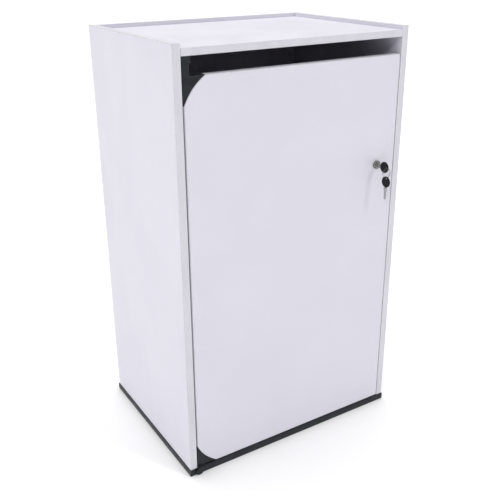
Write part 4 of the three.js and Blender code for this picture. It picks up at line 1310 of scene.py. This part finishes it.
def key_ring():
    """A split ring: two turns of wire side by side, joined by one jog."""
    middle = Box("key_ring").middle
    jog, gap, steps, sides = RING.jog, RING.turn_gap, 240, 12
    rings = []
    for i in range(steps + 1):
        degrees = jog + (720 - 2 * jog) * i / steps
        share = min(1.0, max(0.0, (degrees - 360 + jog) / (2 * jog)))
        shift = gap * (2 * (3 * share**2 - 2 * share**3) - 1)
        angle = radians(degrees + RING.start)
        out = Vector((cos(angle), 0, sin(angle)))
        centre = middle + out * RING.radius + Vector((0, shift, 0))
        wire = []
        for j in range(sides):
            turn = tau * j / sides
            wire.append(centre + (out * cos(turn) + Vector((0, sin(turn), 0))) * RING.wire)
        rings.append(wire)
    show(loft(rings), "key_ring")


# ---- Floor, lights and camera ----

CAMERA_PLACE = (-0.8170, -1.3163, 1.0639)
CAMERA_AZIMUTH = -31.714
CAMERA_ELEVATION = 22.146
CAMERA_ROLL = -0.428
CAMERA_LENS = 51.22
CAMERA_SENSOR = 36
CAMERA_SHIFT = (0.0075, -0.0254)
# Each lamp: where it shines from, its strength and how wide it looks in degrees
LAMPS = {
    "key": ((0.6, -1.0, 1.08), 0.6, 10),
    "fill": ((-1.0, -0.9, 0.78), 0.56, 7),
}
# The sky's strength below and above, and how it leans: side is the way it grows brighter
SKY = Sizes(low=0.02, high=1.46, side=(-0.03, 0.75, 0.0), dimmest=0.1)
FLOOR = Sizes(radius=60, drop=0.0003, glow=0.05)


def add_camera():
    """The camera at the object's three-quarter view from the left."""
    data = bpy.data.cameras.new("camera")
    data.lens = CAMERA_LENS
    data.sensor_width = CAMERA_SENSOR
    data.shift_x, data.shift_y = CAMERA_SHIFT
    camera = new_object("camera", data)
    camera.location = CAMERA_PLACE
    azimuth, elevation = radians(CAMERA_AZIMUTH), radians(CAMERA_ELEVATION)
    level = cos(elevation)
    back = Vector((sin(azimuth) * level, -cos(azimuth) * level, sin(elevation)))
    aim = (-back).to_track_quat("-Z", "Y").to_matrix()
    camera.rotation_euler = (aim @ Matrix.Rotation(radians(CAMERA_ROLL), 3, "Z")).to_euler()
    bpy.context.scene.camera = camera


def add_floor():
    """A wide sheet of white paper that glows a little."""
    bm = bmesh.new()
    bmesh.ops.create_circle(bm, cap_ends=True, segments=96, radius=FLOOR.radius)
    floor = build(bm, "floor")
    floor.location.z = -FLOOR.drop
    paper = surface(
        "floor",
        tones=((0.95, 0.95, 0.955), (0.96, 0.96, 0.965)),
        cloud=(2, 2),
        rough=((3, 2), 0.7, 0.75),
        bumps=[],
        Specular_IOR_Level=0.1,
        Emission_Strength=FLOOR.glow,
        Emission_Color=(1, 1, 1, 1),
    )
    floor.data.materials.append(paper.material)


def add_lights():
    """A key lamp from the front right, a fill from the left, and a sky that is dimmest low in front."""
    for name, (source, strength, spread) in LAMPS.items():
        data = bpy.data.lights.new(name, "SUN")
        data.energy = strength
        data.angle = radians(spread)
        new_object(name, data).rotation_euler = Vector(source).to_track_quat("Z", "Y").to_euler()
    world = bpy.data.worlds.new("studio")
    bpy.context.scene.world = world
    world.use_nodes = True
    sky = Nodes(world.node_tree)
    direction = sky.add("TexCoord", output="Generated")
    height = sky.add("SeparateXYZ", {"Vector": direction}, "Z")
    rising = sky.add("MapRange", {"Value": height, "To Min": SKY.low, "To Max": SKY.high})
    swing = sky.math("ADD", sky.vector("DOT_PRODUCT", direction, SKY.side, "Value"), 1.0)
    strength = sky.math("MULTIPLY", rising, sky.math("MAXIMUM", swing, SKY.dimmest))
    # Seen directly, the sky is plain white.
    seen = sky.add("LightPath", output="Is Camera Ray")
    background = world.node_tree.nodes["Background"].inputs
    background["Color"].default_value = (1, 1, 1, 1)
    sky.tree.links.new(sky.math("MAXIMUM", strength, seen), background["Strength"])
    bpy.context.scene.view_settings.view_transform = "Standard"


# ---- Scene ----

for side in SIDES:
    side_panel(side)
top_panel()
back_panel()
base_board()
base_edging()
connectors()
hinge_bracket_top()
hinge_bracket_bottom()
pivot_pins()
door_panel()
corner_plate("top", 1)
corner_plate("bottom", -1)
strike_plate()
door_stop()
lock_housing()
lock_nut()
lock_plug()
lock_cam()
keys()
key_ring()
add_camera()
add_floor()
add_lights()
